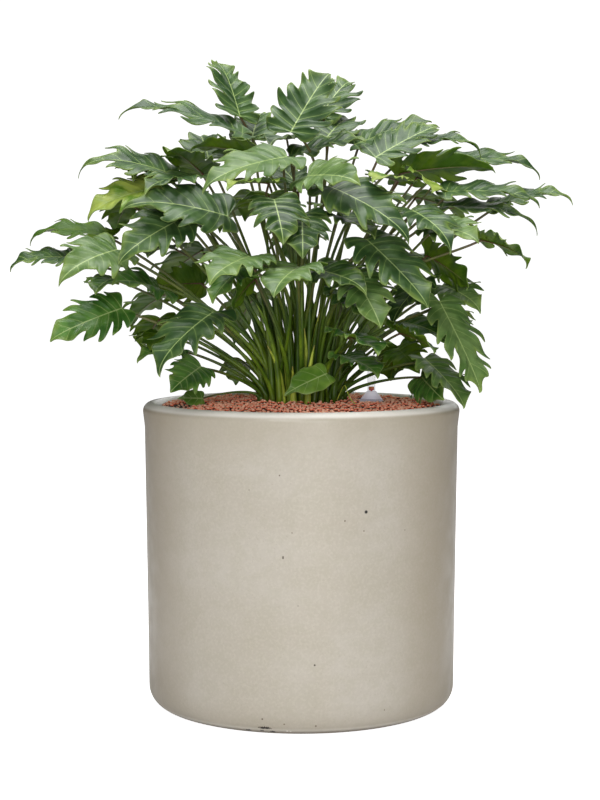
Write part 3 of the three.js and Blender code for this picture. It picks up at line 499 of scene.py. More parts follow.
# %% Leaves: the table
LEAVES = [
    ("leaf_01", (-78, 774, 20), (-246, 793, 5), 95, 36, -18, 0.4, "grey"),
    ("leaf_02", (-83, 797, 60), (-116, 868, 120), 85, 14, 15, 0.4, "grey"),
    ("leaf_03", (-174, 719, 0), (-301, 714, -10), 80, 42, -28, 0.3, "grey"),
    ("leaf_07", (-14, 776, 10), (39, 853, 60), 95, 12, 25, 0.42, "grey"),
    ("leaf_10", (-19, 743, -60), (-133, 693, -120), 90, 24, -25, 0.3, "pale"),
    ("leaf_11", (8, 717, -70), (80, 704, -145), 80, 16, 35, 0.36, "pale"),
    ("leaf_12", (100, 742, -10), (186, 782, 40), 72, 10, 30, 0.42, "grey"),
    ("leaf_13", (72, 759, 60), (176, 789, 60), 78, 8, 25, 0.3, "grey"),
    ("leaf_14", (141, 767, 30), (242, 747, 25), 72, 34, 15, 0.3, "grey"),
    ("leaf_18", (258, 675, 30), (367, 678, 10), 75, 28, 18, 0.32, "grey"),
    ("leaf_19", (189, 667, -10), (319, 629, -25), 75, 33, 15, 0.32, "grey"),
    ("leaf_22", (36, 704, -80), (145, 625, -135), 95, 26, 28, 0.24, "grey"),
    ("leaf_23", (88, 632, -90), (171, 539, -160), 96, 12, 15, 0.38, "grey"),
    ("leaf_26", (187, 549, -60), (243, 424, -120), 85, 8, 0, 0.46, "pale"),
    ("leaf_27", (167, 471, -50), (221, 402, -112), 72, 12, 0, 0.35, "pale"),
    ("leaf_37", (-119, 534, -120), (-192, 445, -170), 100, 26, -15, 0.38, "grey"),
    ("leaf_38", (-243, 539, -60), (-341, 493, -90), 78, 12, -45, 0.38, "lush"),
    ("leaf_40", (-256, 636, 0), (-367, 623, 0), 75, 30, -18, 0.3, "olive"),
    ("leaf_41", (-185, 711, -30), (-288, 664, -60), 82, 25, -32, 0.3, "lime"),
    ("leaf_43", (-99, 663, -70), (-243, 668, -100), 98, 30, -38, 0.22, "grey"),
    ("leaf_44", (-155, 663, -90), (-247, 598, -150), 95, 18, -32, 0.32, "grey"),
    ("leaf_45", (-192, 565, -20), (-257, 570, -80), 88, 14, -30, 0.32, "lush"),
    ("leaf_34", (-3, 595, -150), (-37, 553, -230), 90, 14, 0, 0.32, "pale"),
    ("leaf_35", (-70, 601, -140), (-124, 561, -210), 95, 16, -12, 0.32, "pale"),
    ("leaf_33", (69, 602, -140), (107, 528, -205), 82, 10, 10, 0.35, "pale"),
    ("leaf_32", (17, 591, -100), (88, 556, -165), 80, 18, 20, 0.3, "deep"),
    ("leaf_09", (-15, 744, 30), (87, 763, 0), 90, 10, 20, 0.3, "deep"),
    ("leaf_15", (126, 720, 10), (262, 721, -10), 80, 20, -35, 0.3, "olive"),
    ("leaf_15", (155, 725, 20), (176, 702, -60), 60, 10, -30, 0.25, "lime"),
    ("leaf_16", (189, 738, 40), (322, 712, 30), 75, 30, 20, 0.3, "grey"),
    ("leaf_16", (183, 716, 60), (259, 727, 95), 60, 10, 0, 0.25, "deep"),
    ("leaf_17", (195, 704, 0), (322, 682, -20), 75, 22, 20, 0.3, "grey"),
    ("leaf_20", (239, 633, -40), (304, 592, -95), 80, 20, -25, 0.32, "olive"),
    ("leaf_20", (178, 649, -60), (240, 626, -130), 70, 14, 25, 0.3, "pale"),
    ("leaf_21", (148, 664, -90), (201, 603, -150), 75, 25, 10, 0.32, "grey"),
    ("leaf_21", (133, 710, -30), (96, 708, -110), 60, 12, -10, 0.28, "lime"),
    ("leaf_49", (-37, 686, -120), (-25, 625, -165), 80, 10, 0, 0.35, "deep"),
    ("leaf_49", (-41, 708, -80), (-100, 697, -150), 65, 12, 0, 0.28, "lime"),
    ("leaf_50", (1, 666, -110), (2, 606, -165), 75, 10, 0, 0.32, "deep"),
    ("leaf_50", (25, 679, 0), (54, 664, -70), 45, 8, 0, 0.2, "pale"),
    ("leaf_50", (47, 664, -30), (99, 632, -90), 70, 10, 0, 0.28, "deep"),
    ("leaf_28", (131, 507, -60), (180, 477, -120), 65, 10, -30, 0.32, "lush"),
    ("leaf_28", (137, 520, -30), (202, 479, -70), 70, 24, 20, 0.3, "lush"),
    ("leaf_29", (59, 494, -110), (104, 466, -190), 80, 12, -10, 0.32, "lush"),
    ("leaf_36", (-70, 602, -110), (-120, 545, -160), 80, 10, 0, 0.3, "lush"),
    ("leaf_36", (-61, 573, -100), (-91, 527, -150), 70, 10, 60, 0.25, "grey"),
    ("leaf_39", (-249, 618, -80), (-329, 568, -150), 85, 28, -35, 0.32, "pale"),
    ("leaf_39", (-307, 607, -20), (-394, 588, -30), 65, 20, -20, 0.3, "grey"),
    ("leaf_48", (-136, 460, -60), (-178, 424, -92), 60, 8, -40, 0.18, "lush"),
    ("leaf_48", (-134, 416, -35), (-168, 416, -45), 26, 3, 0, 0.12, "fresh"),
    ("leaf_25", (167, 613, 0), (224, 564, -55), 70, 14, -60, 0.3, "olive"),
    ("leaf_25", (191, 570, 20), (243, 531, -40), 70, 18, 20, 0.3, "pale"),
    ("leaf_25", (170, 572, -20), (126, 509, -60), 75, 12, 0, 0.3, "deep"),
    ("leaf_08", (26, 797, 70), (68, 838, 130), 75, 22, 20, 0.4, "grey"),
    ("leaf_08", (35, 769, 60), (69, 781, 130), 70, 26, 10, 0.28, "grey"),
    ("leaf_05", (-125, 740, 80), (-137, 768, 165), 78, 12, 0, 0.3, "grey"),
    ("leaf_05", (-67, 765, 90), (-53, 799, 165), 75, 12, 0, 0.28, "grey"),
    ("leaf_04", (-205, 732, 60), (-227, 717, -30), 70, 22, 0, 0.28, "olive"),
    ("leaf_04", (-131, 719, 20), (-180, 750, -75), 75, 10, 0, 0.28, "olive"),
    ("leaf_04", (-143, 716, -20), (-211, 691, -100), 70, 18, -10, 0.28, "grey"),
    ("leaf_06", (-50, 751, 30), (-150, 757, 10), 62, 18, 25, 0.28, "olive"),
    ("leaf_06", (-18, 767, 70), (-42, 754, -15), 60, 14, 0, 0.28, "grey"),
    ("leaf_24", (35, 450, -60), (-23, 419, -85), 46, 8, -45, 0.05, "fresh"),
    ("leaf_30", (59, 474, -60), (104, 443, -110), 70, 10, 0, 0.28, "lush"),
    ("leaf_30", (56, 560, -40), (97, 519, -100), 80, 10, 0, 0.28, "lush"),
    ("leaf_31", (131, 488, 20), (122, 440, 60), 60, 6, 0, 0.25, "olive"),
    ("leaf_31", (131, 485, 10), (161, 450, -50), 60, 8, 30, 0.28, "olive"),
    ("leaf_31", (163, 455, -40), (195, 422, -112), 60, 8, 60, 0.28, "lush"),
    ("leaf_42", (-233, 686, -10), (-252, 640, 50), 60, 8, 0, 0.28, "olive"),
    ("leaf_42", (-171, 622, 60), (-208, 607, -20), 60, 10, 0, 0.25, "deep"),
    ("leaf_46", (-254, 588, -30), (-279, 565, -90), 60, 10, 0, 0.28, "lush"),
    ("leaf_46", (-131, 573, 40), (-201, 566, 0), 65, 10, 60, 0.28, "lush"),
    ("leaf_47", (-192, 526, 10), (-216, 484, 50), 65, 6, 0, 0.28, "olive"),
    ("leaf_47", (-188, 505, 20), (-205, 481, -40), 60, 8, 0, 0.25, "olive"),
    ("leaf_47", (-159, 482, -20), (-223, 464, -60), 65, 15, -15, 0.28, "lush"),
    ("leaf_51", (-42, 693, -20), (-76, 656, 40), 70, 10, 0, 0.28, "olive"),
    ("leaf_52", (-76, 466, 150), (-89, 434, 222), 65, 8, 0, 0.25, "deep"),
    ("leaf_52", (-130, 620, 150), (-190, 560, 230), 85, 20, 0, 0.3, "grey"),
    ("leaf_52", (-60, 560, 190), (-90, 490, 265), 85, 20, 0, 0.3, "grey"),
    ("leaf_52", (-180, 560, 110), (-230, 510, 175), 80, 20, 0, 0.3, "grey"),
    ("leaf_52", (-150, 690, 110), (-215, 650, 190), 85, 22, 0, 0.3, "grey"),
    ("leaf_53", (-2, 700, 80), (-34, 727, 160), 75, 12, 0, 0.28, "deep"),
    ("leaf_53", (-60, 690, 140), (-110, 640, 235), 85, 20, 0, 0.3, "grey"),
    ("leaf_53", (0, 650, 170), (-10, 590, 265), 85, 20, 0, 0.3, "grey"),
    ("leaf_54", (70, 700, 130), (120, 655, 230), 85, 20, 0, 0.3, "grey"),
    ("leaf_54", (140, 610, 150), (210, 560, 235), 85, 20, 0, 0.3, "grey"),
    ("leaf_54", (70, 550, 190), (100, 480, 265), 85, 20, 0, 0.3, "grey"),
    ("leaf_54", (185, 545, 110), (225, 505, 180), 62, 12, 0, 0.3, "grey"),
    ("leaf_54", (150, 690, 110), (220, 650, 190), 85, 22, 0, 0.3, "grey"),
]
NODES = list(dict.fromkeys(row[0] for row in LEAVES))
print("leaves:", len(LEAVES), "in", len(NODES), "nodes")

# %% [markdown]
# ## How a blade curves
# A blade hangs on its midrib, which is a curve from the base to the drooping tip. Its two halves fold up
# beside the midrib and sink again towards the margin. A point of the blade is found from where its vein
# leaves the midrib, how far ahead it runs, and how far out it lies. All points of a blade are worked out
# at once with arrays, because there are thousands. Lengths are in mm here, and metres in the meshes.

# %% Leaves: from the table to points in space
FOLD = 0.34
DROOP = 0.3
BLADE = 0.9
# How far along the chord, and how far up the arch, the midrib's two handles lie.
NEAR_PULL, NEAR_ARCH, FAR_PULL = 0.4, 0.6, 0.95
UP = np.array((0.0, 0.0, 1.0))


def seen_place(point, depth_move, lift_move):
    """Where a point read in the front view lies, once its depth is known."""
    across, up, depth = point[0], point[1] + lift_move, point[2] + depth_move
    scale = (EYE_DISTANCE + depth) / EYE_DISTANCE
    return np.array((across * scale, depth, EYE_HEIGHT + (up - EYE_HEIGHT) * scale))


def unit(vector):
    return vector / np.linalg.norm(vector, axis=-1, keepdims=True)


def curve(points, share):
    """Points and directions along a curve with two handles."""
    a, b, c, d = points
    t = np.asarray(share, float)[..., None]
    place = (1 - t) ** 3 * a + 3 * (1 - t) ** 2 * t * b + 3 * (1 - t) * t ** 2 * c + t ** 3 * d
    slope = 3 * (1 - t) ** 2 * (b - a) + 6 * (1 - t) * t * (c - b) + 3 * t ** 2 * (d - c)
    return place, unit(slope)


def leaf_lines(row, move, turn=0.0):
    """The midrib of a leaf and the direction sideways from it."""
    _, base, tip, _, arch, roll, _, _ = row
    start, end = seen_place(base, *move), seen_place(tip, *move)
    chord = end - start
    along = unit(chord)
    level = unit(UP - UP @ along * along)
    angle = math.radians(roll + turn)
    face = level * math.cos(angle) + np.cross(along, level) * math.sin(angle)
    near = start + NEAR_PULL * chord + NEAR_ARCH * arch * face
    far = start + FAR_PULL * chord + arch * face
    return {
        "midrib": (start, near, far, end),
        "side": np.cross(along, face),
        "length": float(np.linalg.norm(chord)),
        "half": row[3] / 2,
    }


def blade_points(lines, vein, ahead, out, above):
    """Points of a blade, by arrays of the same shape."""
    place, tangent = curve(lines["midrib"], vein)
    normal = unit(np.cross(lines["side"], tangent))
    spread = np.abs(out)
    lift = lines["half"] * (FOLD * spread - DROOP * spread ** 2) + above
    place = place + tangent * (ahead * lines["length"])[..., None]
    return place + lines["side"] * (out * lines["half"])[..., None] + normal * lift[..., None]


print("a blade is", BLADE, "mm thick")

# %% [markdown]
# ## Finding each leaf in the frame
# In the CAD model, a leaf whose place was taken moved a little back or forward and up or down, and its
# stalk bowed to one side. Those moves aren't in the table, so they are read from the frame: for each
# allowed move the corners of the blade are worked out, and the move whose corners lie on the CAD node's
# own vertices is the right one. The stalk's bow is found in the same way.

# %% Leaves: find the moves of each blade
DEPTH_MOVES = [0, 12, -12, 24, -24, 36, -36, 50, -50, 65, -65]
LIFT_MOVES = [0, 8, -8, 16, -16]
MOVES = [(depth, lift) for depth in DEPTH_MOVES for lift in LIFT_MOVES]
FIRST_VEIN = 0.1
CORNERS = np.array([
    (FIRST_VEIN, 0.16, 1.0),
    (0.22, 0.32, 0.97),
    (0.36, 0.49, 0.82),
    (0.52, 0.64, 0.56),
    (0.74, 0.83, 0.26),
])


def node_points(node):
    """All vertices of a CAD node, in mm."""
    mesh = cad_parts[node].data
    places = np.empty(len(mesh.vertices) * 3)
    mesh.vertices.foreach_get("co", places)
    return places.reshape(-1, 3) / MM


def nearest(points, targets, count=1):
    """Distances from each point to its nearest targets."""
    gaps = np.linalg.norm(points[:, None, :] - targets[None, :, :], axis=-1)
    return np.sort(gaps, axis=1)[:, :count]


def find_move(row, targets):
    """The depth and lift move that puts the blade's corners on the node's vertices."""
    vein, along, out = CORNERS.T
    vein, ahead = np.tile(vein, 2), np.tile(along - vein, 2)
    out = np.concatenate((out, -out))
    found = []
    for move in MOVES:
        raised = np.full(len(out), BLADE / 2)
        corners = blade_points(leaf_lines(row, move), vein, ahead, out, raised)
        found.append((float(nearest(corners, targets).mean()), move))
    return min(found)


CAD_POINTS = {node: node_points(node) for node in NODES}
found_moves = [find_move(row, CAD_POINTS[row[0]]) for row in LEAVES]
BLADE_MOVES = [move for _, move in found_moves]
print("blades found, worst miss in mm:", round(max(miss for miss, _ in found_moves), 3))

# %% Leaves: find the foot and the bow of each stalk
CROWN_TOP = 413.5
CROWN_RADIUS = 62
GAP = 0.3
FOOT_HEIGHT = 7
FOOT_SINK = 2
BUNCH_COUNT = 4
PAIR_SPACING = 3
BUNCH_SPACING = 4.2
STALK_RADIUS = 2.3
STALK_JOINT = 0.045
LEAST_RISE = 14
UPPER_BEND = 0.7
UPPER_LIFT = 0.1
STALK_BOWS = [0, 9, -9, 18, -18, 28, -28, 40, -40, 54, -54, 70, -70, 88, -88]
STALK_RISES = [0.34, 0.2, 0.5, 0.65, 0.8]
FINE_STEPS = 201
SEAT_SLACK = 0.05


def crown_place(node):
    """The middle of the node's foot on the crown, from its lowest vertices."""
    points = CAD_POINTS[node]
    on_crown = np.linalg.norm(points[:, :2], axis=1) < CROWN_RADIUS
    low = points[on_crown & (points[:, 2] < CROWN_TOP + GAP + SEAT_SLACK)]
    return np.array((*low[:, :2].mean(axis=0), CROWN_TOP + GAP))


def stalk_feet():
    """The foot of every stalk: one in the middle, or several in a ring on a shared foot."""
    feet = [None] * len(LEAVES)
    for node in CAD_POINTS:
        place = crown_place(node)
        own = [i for i, row in enumerate(LEAVES) if row[0] == node]
        if len(own) == 1:
            feet[own[0]] = place
            continue
        spacing = PAIR_SPACING if len(own) < BUNCH_COUNT else BUNCH_SPACING
        bases = {i: LEAVES[i][1] for i in own}
        lean = {i: math.atan2(b[2] - place[1], b[0] - place[0]) for i, b in bases.items()}
        own.sort(key=lambda i: lean[i])
        for k, i in enumerate(own):
            angle = lean[own[0]] + 2 * math.pi * k / len(own)
            aside = spacing * np.array((math.cos(angle), math.sin(angle), 0))
            feet[i] = place + aside + UP * (FOOT_HEIGHT - FOOT_SINK)
    return feet


def stalk_handles(row, move, foot, bow, rise):
    """The curve of a stalk: upright out of the crown, then over to the blade."""
    midrib = leaf_lines(row, move)["midrib"]
    joined = curve(midrib, FIRST_VEIN)[0]
    head = midrib[0] + (joined - midrib[0]) * STALK_JOINT / FIRST_VEIN
    reach = head - foot
    sideways = unit(np.array((-reach[1], reach[0], 0.0)))
    upright = max(LEAST_RISE, rise * reach[2])
    bend = foot + UPPER_BEND * reach + UP * UPPER_LIFT * np.linalg.norm(reach) + sideways * bow
    return foot, foot + UP * upright, bend, head


def along_curve(handles, shares):
    """Points at equal shares of a curve's length."""
    even = np.linspace(0, 1, FINE_STEPS)
    fine = curve(handles, even)[0]
    steps = np.concatenate(([0], np.cumsum(np.linalg.norm(np.diff(fine, axis=0), axis=1))))
    return curve(handles, np.interp(np.asarray(shares) * steps[-1], steps, even))[0]


def find_stalk(row, move, foot, targets):
    """The bow and rise whose path runs down the middle of the CAD stalk."""
    found = []
    for bow in STALK_BOWS:
        for rise in STALK_RISES:
            handles = stalk_handles(row, move, foot, bow, rise)
            middle = along_curve(handles, (1 / 3, 2 / 3))
            miss = np.abs(nearest(middle, targets, 3) - STALK_RADIUS).mean()
            found.append((float(miss), bow, rise))
    return min(found)


STALK_FEET = stalk_feet()
found_stalks = [
    find_stalk(row, move, foot, CAD_POINTS[row[0]])
    for row, move, foot in zip(LEAVES, BLADE_MOVES, STALK_FEET)
]
print("stalks found, worst miss in mm:", round(max(found[0] for found in found_stalks), 3))

# %% [markdown]
# ## The margin of a blade
# The real blade has a heart-shaped base, four short lobes on each side whose rounded tips hook forward,
# narrow sinuses between them, and an end that runs out in a point. The most deeply cut leaves have one
# more lobe on each side of that end, and the youngest are plain ovals. Half of the margin is written as a
# short list of guide points: where its vein starts, how far ahead it runs, and how far out it reaches.
# Cutting the corners of the list twice gives a smooth margin, in the same way as a subdivision surface
# smooths its cage. A small seeded change for every leaf keeps two leaves from being alike.

# %% Leaves: smooth margin from guide points
LOBES = [
    ((0.0, -0.03, 0.82), (0.008, 0.03, 0.92), (0.020, 0.06, 0.92)),
    ((0.046, 0.105, 0.88), (0.066, 0.125, 1.00), (0.092, 0.147, 1.01)),
    ((0.122, 0.178, 0.85), (0.150, 0.200, 1.00), (0.184, 0.228, 1.01)),
    ((0.222, 0.268, 0.72), (0.258, 0.300, 0.88), (0.294, 0.330, 0.89)),
]
SINUSES = [
    ((0.030, 0.078), (0.036, 0.092)),
    ((0.104, 0.160), (0.111, 0.168)),
    ((0.200, 0.246), (0.209, 0.256)),
    ((0.318, 0.350), (0.336, 0.362)),
]
HOOK = 0.22
HOOK_START = 0.6
BASE_LOBE = [(0, -0.24, 0), (0, -0.24, 0.16), (0, -0.22, 0.36), (0, -0.165, 0.54), (0, -0.09, 0.70)]
LEAF_END = [
    (0.36, 0.39, 0.56), (0.42, 0.43, 0.59), (0.49, 0.43, 0.51), (0.58, 0.39, 0.40),
    (0.68, 0.32, 0.28), (0.78, 0.23, 0.17), (0.87, 0.14, 0.09), (0.95, 0.06, 0.035), (1, 0, 0),
]
LOBED_END = [
    (0.36, 0.39, 0.52), (0.40, 0.42, 0.66), (0.44, 0.44, 0.66), (0.47, 0.445, 0.42),
    (0.49, 0.45, 0.38), (0.52, 0.45, 0.50), (0.56, 0.43, 0.50), (0.64, 0.38, 0.31),
    (0.75, 0.27, 0.18), (0.86, 0.15, 0.10), (0.95, 0.06, 0.04), (1, 0, 0),
]
OVATE = [
    (0, -0.2, 0), (0, -0.2, 0.16), (0, -0.17, 0.4), (0, -0.1, 0.62), (0.01, 0.0, 0.8),
    (0.05, 0.1, 0.90), (0.11, 0.2, 0.94), (0.18, 0.29, 0.88), (0.27, 0.37, 0.74),
    (0.38, 0.42, 0.56), (0.5, 0.4, 0.38), (0.64, 0.34, 0.22), (0.8, 0.2, 0.11), (1, 0, 0),
]
LEAST_CUT = 0.15
DEEP_CUT = 0.39
LOBE_GROWTH = (0.93, 1.05)
SINUS_DEPTH = (0.7, 1.25)
END_BREADTH = (0.9, 1.08)


def guide_points(cut, arch, rng):
    """Half a margin as (vein, slope, out), and the rows that carry a main vein."""
    if cut < LEAST_CUT:
        return list(OVATE), [3, 5, 7, 9, 11]
    points, main = list(BASE_LOBE), [3]
    reach = [lobe[1][2] for lobe in LOBES] + [LEAF_END[0][2]]
    for k, (lobe, sinus) in enumerate(zip(LOBES, SINUSES)):
        grown = rng.uniform(*LOBE_GROWTH)
        deep = (1 - cut * rng.uniform(*SINUS_DEPTH)) * (reach[k] + reach[k + 1]) / 2
        main.append(len(points) + 1)
        points += [(vein, slope, out * grown) for vein, slope, out in lobe]
        points += [(*sinus[0], deep * 1.01), (*sinus[1], deep)]
    leaf_end, last_vein = (LEAF_END, 3) if cut < DEEP_CUT else (LOBED_END, 6)
    main += [len(points) + 1, len(points) + last_vein]
    broad = (1.08 - 0.011 * arch) * rng.uniform(*END_BREADTH)
    points += [(vein, slope, out * broad) for vein, slope, out in leaf_end]
    return points, main


def cut_corners(points, rounds):
    """Rounds a line by replacing each corner with two points beside it."""
    for _ in range(rounds):
        near = 0.75 * points[:-1] + 0.25 * points[1:]
        far = 0.25 * points[:-1] + 0.75 * points[1:]
        inner = np.stack((near, far), axis=1).reshape(-1, points.shape[1])
        points = np.vstack((points[:1], inner, points[-1:]))
    return points


def smooth_margin(cut, arch, rng, rounds):
    """Rows of (key, vein, slope, out) for one half, and the rows of the main veins."""
    points, main = guide_points(cut, arch, rng)
    keyed = np.array([(key, *point) for key, point in enumerate(points)])
    rows = cut_corners(keyed, rounds)
    return rows, [int(np.abs(rows[:, 0] - key).argmin()) for key in main]


example_rows, example_veins = smooth_margin(0.3, 20, np.random.default_rng(1), 2)
print("rows in half a margin:", len(example_rows), "main veins at rows", example_veins)

# %% [markdown]
# ## One blade
# A flat grid is the right start for a blade: its long side becomes the midrib and its rows become the
# veins, which run outwards and curve forward. Extruding the whole grid while its first faces are kept
# gives a closed sheet with an upper and a lower face, which then get their places a thickness apart.
# Between the veins the blade is pleated like a fan, and its margin waves a little. Four values are kept on
# every vertex for the material: the distances to the midrib, to the nearest vein and to the margin, and
# whether the vertex lies on the underside. An olive leaf whose upper side would face the camera is
# coloured as if it were turned over, because the real ones show their backs. The smallest leaf lies on
# the granules and is turned about its midrib to show its face.

# %% Leaves: build a blade
COLUMNS = np.array((0.0, 0.28, 0.55, 0.78, 0.92, 1.0))
VEIN_CURVE = 1.15
ROW_LAG = 0.35
PLEAT = 0.034
PLEAT_FULL = 1.25
WAVE = 0.09
WAVE_COUNT = 21
WAVE_OFFSET = 0.9
WAVE_START = 2.5
RIB_WIDTH, RIB_NARROWING = 0.95, 0.65
VEIN_WIDTH, VEIN_NARROWING = 0.35, 0.3
SMALLEST_LEAF = 30
SMALLEST_TURN = -62


def blade_surface(row, move, rng, rounds):
    """Places of all rows and columns of a blade, and its distances to veins and margin, in mm."""
    lines = leaf_lines(row, move, SMALLEST_TURN if row[3] < SMALLEST_LEAF else 0.0)
    shares = np.concatenate((-COLUMNS[:0:-1], COLUMNS))
    halves = [smooth_margin(row[6], row[4], rng, rounds) for _ in range(2)]
    left, right = halves[0][0], halves[1][0]
    half_rows = np.where(shares[None, :, None] < 0, left[:, None, :], right[:, None, :])
    _, vein, slope, out = np.moveaxis(half_rows, -1, 0)
    spread = np.abs(shares)[None, :]
    reach = out * shares[None, :]
    along = vein + slope * np.abs(reach) ** VEIN_CURVE
    along = along + HOOK * np.maximum(0, np.abs(reach) - HOOK_START) ** 2
    start = np.maximum(along, 0) * (1 - ROW_LAG * np.abs(reach))
    veins = np.array(halves[0][1])
    row_place = np.arange(len(left))
    order = np.interp(row_place, veins, np.arange(len(veins)))
    pleats = PLEAT * np.sin(np.pi * order) ** 2 * (row_place > veins[0]) * (row_place < veins[-1])
    bulge = pleats[:, None] * spread * (PLEAT_FULL - spread) * 2
    phase = rng.uniform(0, 2 * math.pi)
    ruffle = WAVE * np.sin(along * WAVE_COUNT + phase + np.sign(shares) * WAVE_OFFSET) * spread ** 2
    raised = lines["half"] * (bulge + ruffle * np.clip(out * WAVE_START, 0, 1))
    sheets = [
        blade_points(lines, start, along - start, reach, raised + above)
        for above in (BLADE / 2, -BLADE / 2)
    ]
    top = sheets[0]
    rib_gap = np.abs(reach) * lines["half"] - (RIB_WIDTH - RIB_NARROWING * np.clip(along, 0, 1))
    gaps = [np.linalg.norm(top - top[k][None], axis=-1) for k in veins]
    vein_gap = np.min(gaps, axis=0) - (VEIN_WIDTH - VEIN_NARROWING * spread)
    edge = (1 - spread) * out * lines["half"]
    return sheets, {"rib": rib_gap, "vein": vein_gap, "margin": edge}, lines


def add_blade(bm, row, move, rng, rounds, finish_index):
    """Adds a closed, pleated blade to a bmesh and returns its lines."""
    sheets, gaps, lines = blade_surface(row, move, rng, rounds)
    rows, columns = gaps["vein"].shape
    layers = {name: bm.verts.layers.float[name] for name in gaps}
    under_layer = bm.verts.layers.float["under"]
    pattern = bm.loops.layers.uv["pattern"]
    grid = bmesh.ops.create_grid(bm, x_segments=columns - 1, y_segments=rows - 1, size=1.0)["verts"]
    faces = list({face for vert in grid for face in vert.link_faces})
    spread = bmesh.ops.extrude_face_region(bm, geom=faces, use_keep_orig=True)
    lower = [part for part in spread["geom"] if isinstance(part, bmesh.types.BMVert)]
    middle = sheets[0][rows // 2, columns // 2]
    toward_eye = np.array((EYE_ACROSS, -EYE_DISTANCE, EYE_HEIGHT)) - middle
    shows_face = np.dot(middle - sheets[1][rows // 2, columns // 2], toward_eye) > 0
    turned_over = row[7] == "olive" and shows_face
    for under, verts in enumerate((grid, lower)):
        for vert in verts:
            column = round((vert.co.x + 1) / 2 * (columns - 1))
            line = round((vert.co.y + 1) / 2 * (rows - 1))
            vert.co = Vector(sheets[under][line, column] * MM)
            for name, layer in layers.items():
                vert[layer] = gaps[name][line, column]
            vert[under_layer] = float(under != turned_over)
            for loop in vert.link_loops:
                loop[pattern].uv = (line / (rows - 1), column / (columns - 1))
    for face in {face for vert in grid + lower for face in vert.link_faces}:
        face.material_index = finish_index
    bmesh.ops.remove_doubles(bm, verts=grid + lower, dist=2e-6)
    return lines


print("grid of", len(example_rows), "rows by", 2 * len(COLUMNS) - 1, "columns for a blade")

# %% [markdown]
# ## One stalk
# A stalk is a slender rod, thickest where it clasps the crown and slightly channelled on its inner side.
# A grid rolled up round the stalk's path makes it: its columns go round and its rows go up. It runs on
# under the blade as the raised midrib, which is why one strip serves for both. Its height along the way
# is kept for the material, which goes from green to brown and to maroon.

# %% Leaves: build a stalk
STALK_COLUMNS = 8
STALK_ROWS = 22
STALK_CHANNEL = 0.25
STALK_WIDTH, STALK_TAPER = 3.1, 1.25
FOOT_SWELL, SWELL_FADE = 1.5, 9
SLENDEREST, WIDTH_TO_FULL = 0.35, 110
RIB_ROWS = 7
RIB_START, RIB_END = 0.09, 0.62
RIB_RADII = (1.15, 0.35)
RIB_DROP, RIB_CLIMB = 0.75, 0.3
JOINT_DROP, JOINT_VEIN = 1.3, 0.05
ROD_START = (0.31, 0.95, 0.05)


def stalk_line(row, move, foot, found, lines):
    """Middle points, radii and heights of a stalk and of the midrib that continues it."""
    _, bow, rise = found
    handles = list(stalk_handles(row, move, foot, bow, rise))
    normal = unit(np.cross(lines["side"], curve(lines["midrib"], JOINT_VEIN)[1]))
    handles[3] = handles[3] - normal * JOINT_DROP
    handles[0] = handles[0] - UP * FOOT_SINK
    shares = np.linspace(0, 1, STALK_ROWS)
    rod = along_curve(handles, shares)
    ribs = np.linspace(RIB_START, RIB_END, RIB_ROWS)
    rib, tangent = curve(lines["midrib"], ribs)
    normals = unit(np.cross(lines["side"], tangent))
    rib = rib - normals * (RIB_DROP - RIB_CLIMB * ribs)[:, None]
    slender = min(1, SLENDEREST + row[3] / WIDTH_TO_FULL)
    swell = FOOT_SWELL * np.exp(-shares * SWELL_FADE)
    rod_radius = slender * (STALK_WIDTH - STALK_TAPER * shares + swell)
    rib_radius = np.linspace(*RIB_RADII, RIB_ROWS)
    heights = np.concatenate((shares, 1 + ribs))
    return np.vstack((rod, rib)), np.concatenate((rod_radius, rib_radius)), heights


def add_rod(bm, middle, radii, heights, columns, finish_index, channel=0.0):
    """Adds a closed rod along middle points: a rolled grid with filled ends."""
    rows = len(middle)
    tangents = unit(np.gradient(middle, axis=0))
    side = unit(np.cross(tangents[0], ROD_START))
    frames = []
    for tangent in tangents:
        side = unit(side - side @ tangent * tangent)
        frames.append((side, np.cross(tangent, side)))
    tall = bm.verts.layers.float["tall"]
    grid = bmesh.ops.create_grid(bm, x_segments=columns, y_segments=rows - 1, size=1.0)["verts"]
    faces = list({face for vert in grid for face in vert.link_faces})
    for vert in grid:
        angle = math.pi * (vert.co.x + 1)
        line = round((vert.co.y + 1) / 2 * (rows - 1))
        radius = radii[line] * (1 - channel * max(0.0, math.cos(angle)) ** 3)
        sideways, upward = frames[line]
        outward = sideways * math.cos(angle) + upward * math.sin(angle)
        vert.co = Vector((middle[line] + radius * outward) * MM)
        vert[tall] = heights[line]
    for face in faces:
        face.material_index = finish_index
    bmesh.ops.remove_doubles(bm, verts=grid, dist=2e-6)
    open_edges = {edge for face in faces for edge in face.edges if edge.is_boundary}
    for face in bmesh.ops.holes_fill(bm, edges=list(open_edges), sides=0)["faces"]:
        face.material_index = finish_index


print("stalk grid:", STALK_ROWS + RIB_ROWS, "rows by", STALK_COLUMNS, "columns")

# %% [markdown]
# ## The leaf's finish
# The upper face is a greyish green with a soft satin gloss, fresher near the veins, with thin pale veins
# and a thin pale margin. The underside is a deep olive green. The material reads the values that were
# kept on the vertices, so that the veins follow each blade however it bends. Seven tones give the plant
# its range from young pale leaves to shaded deep ones.

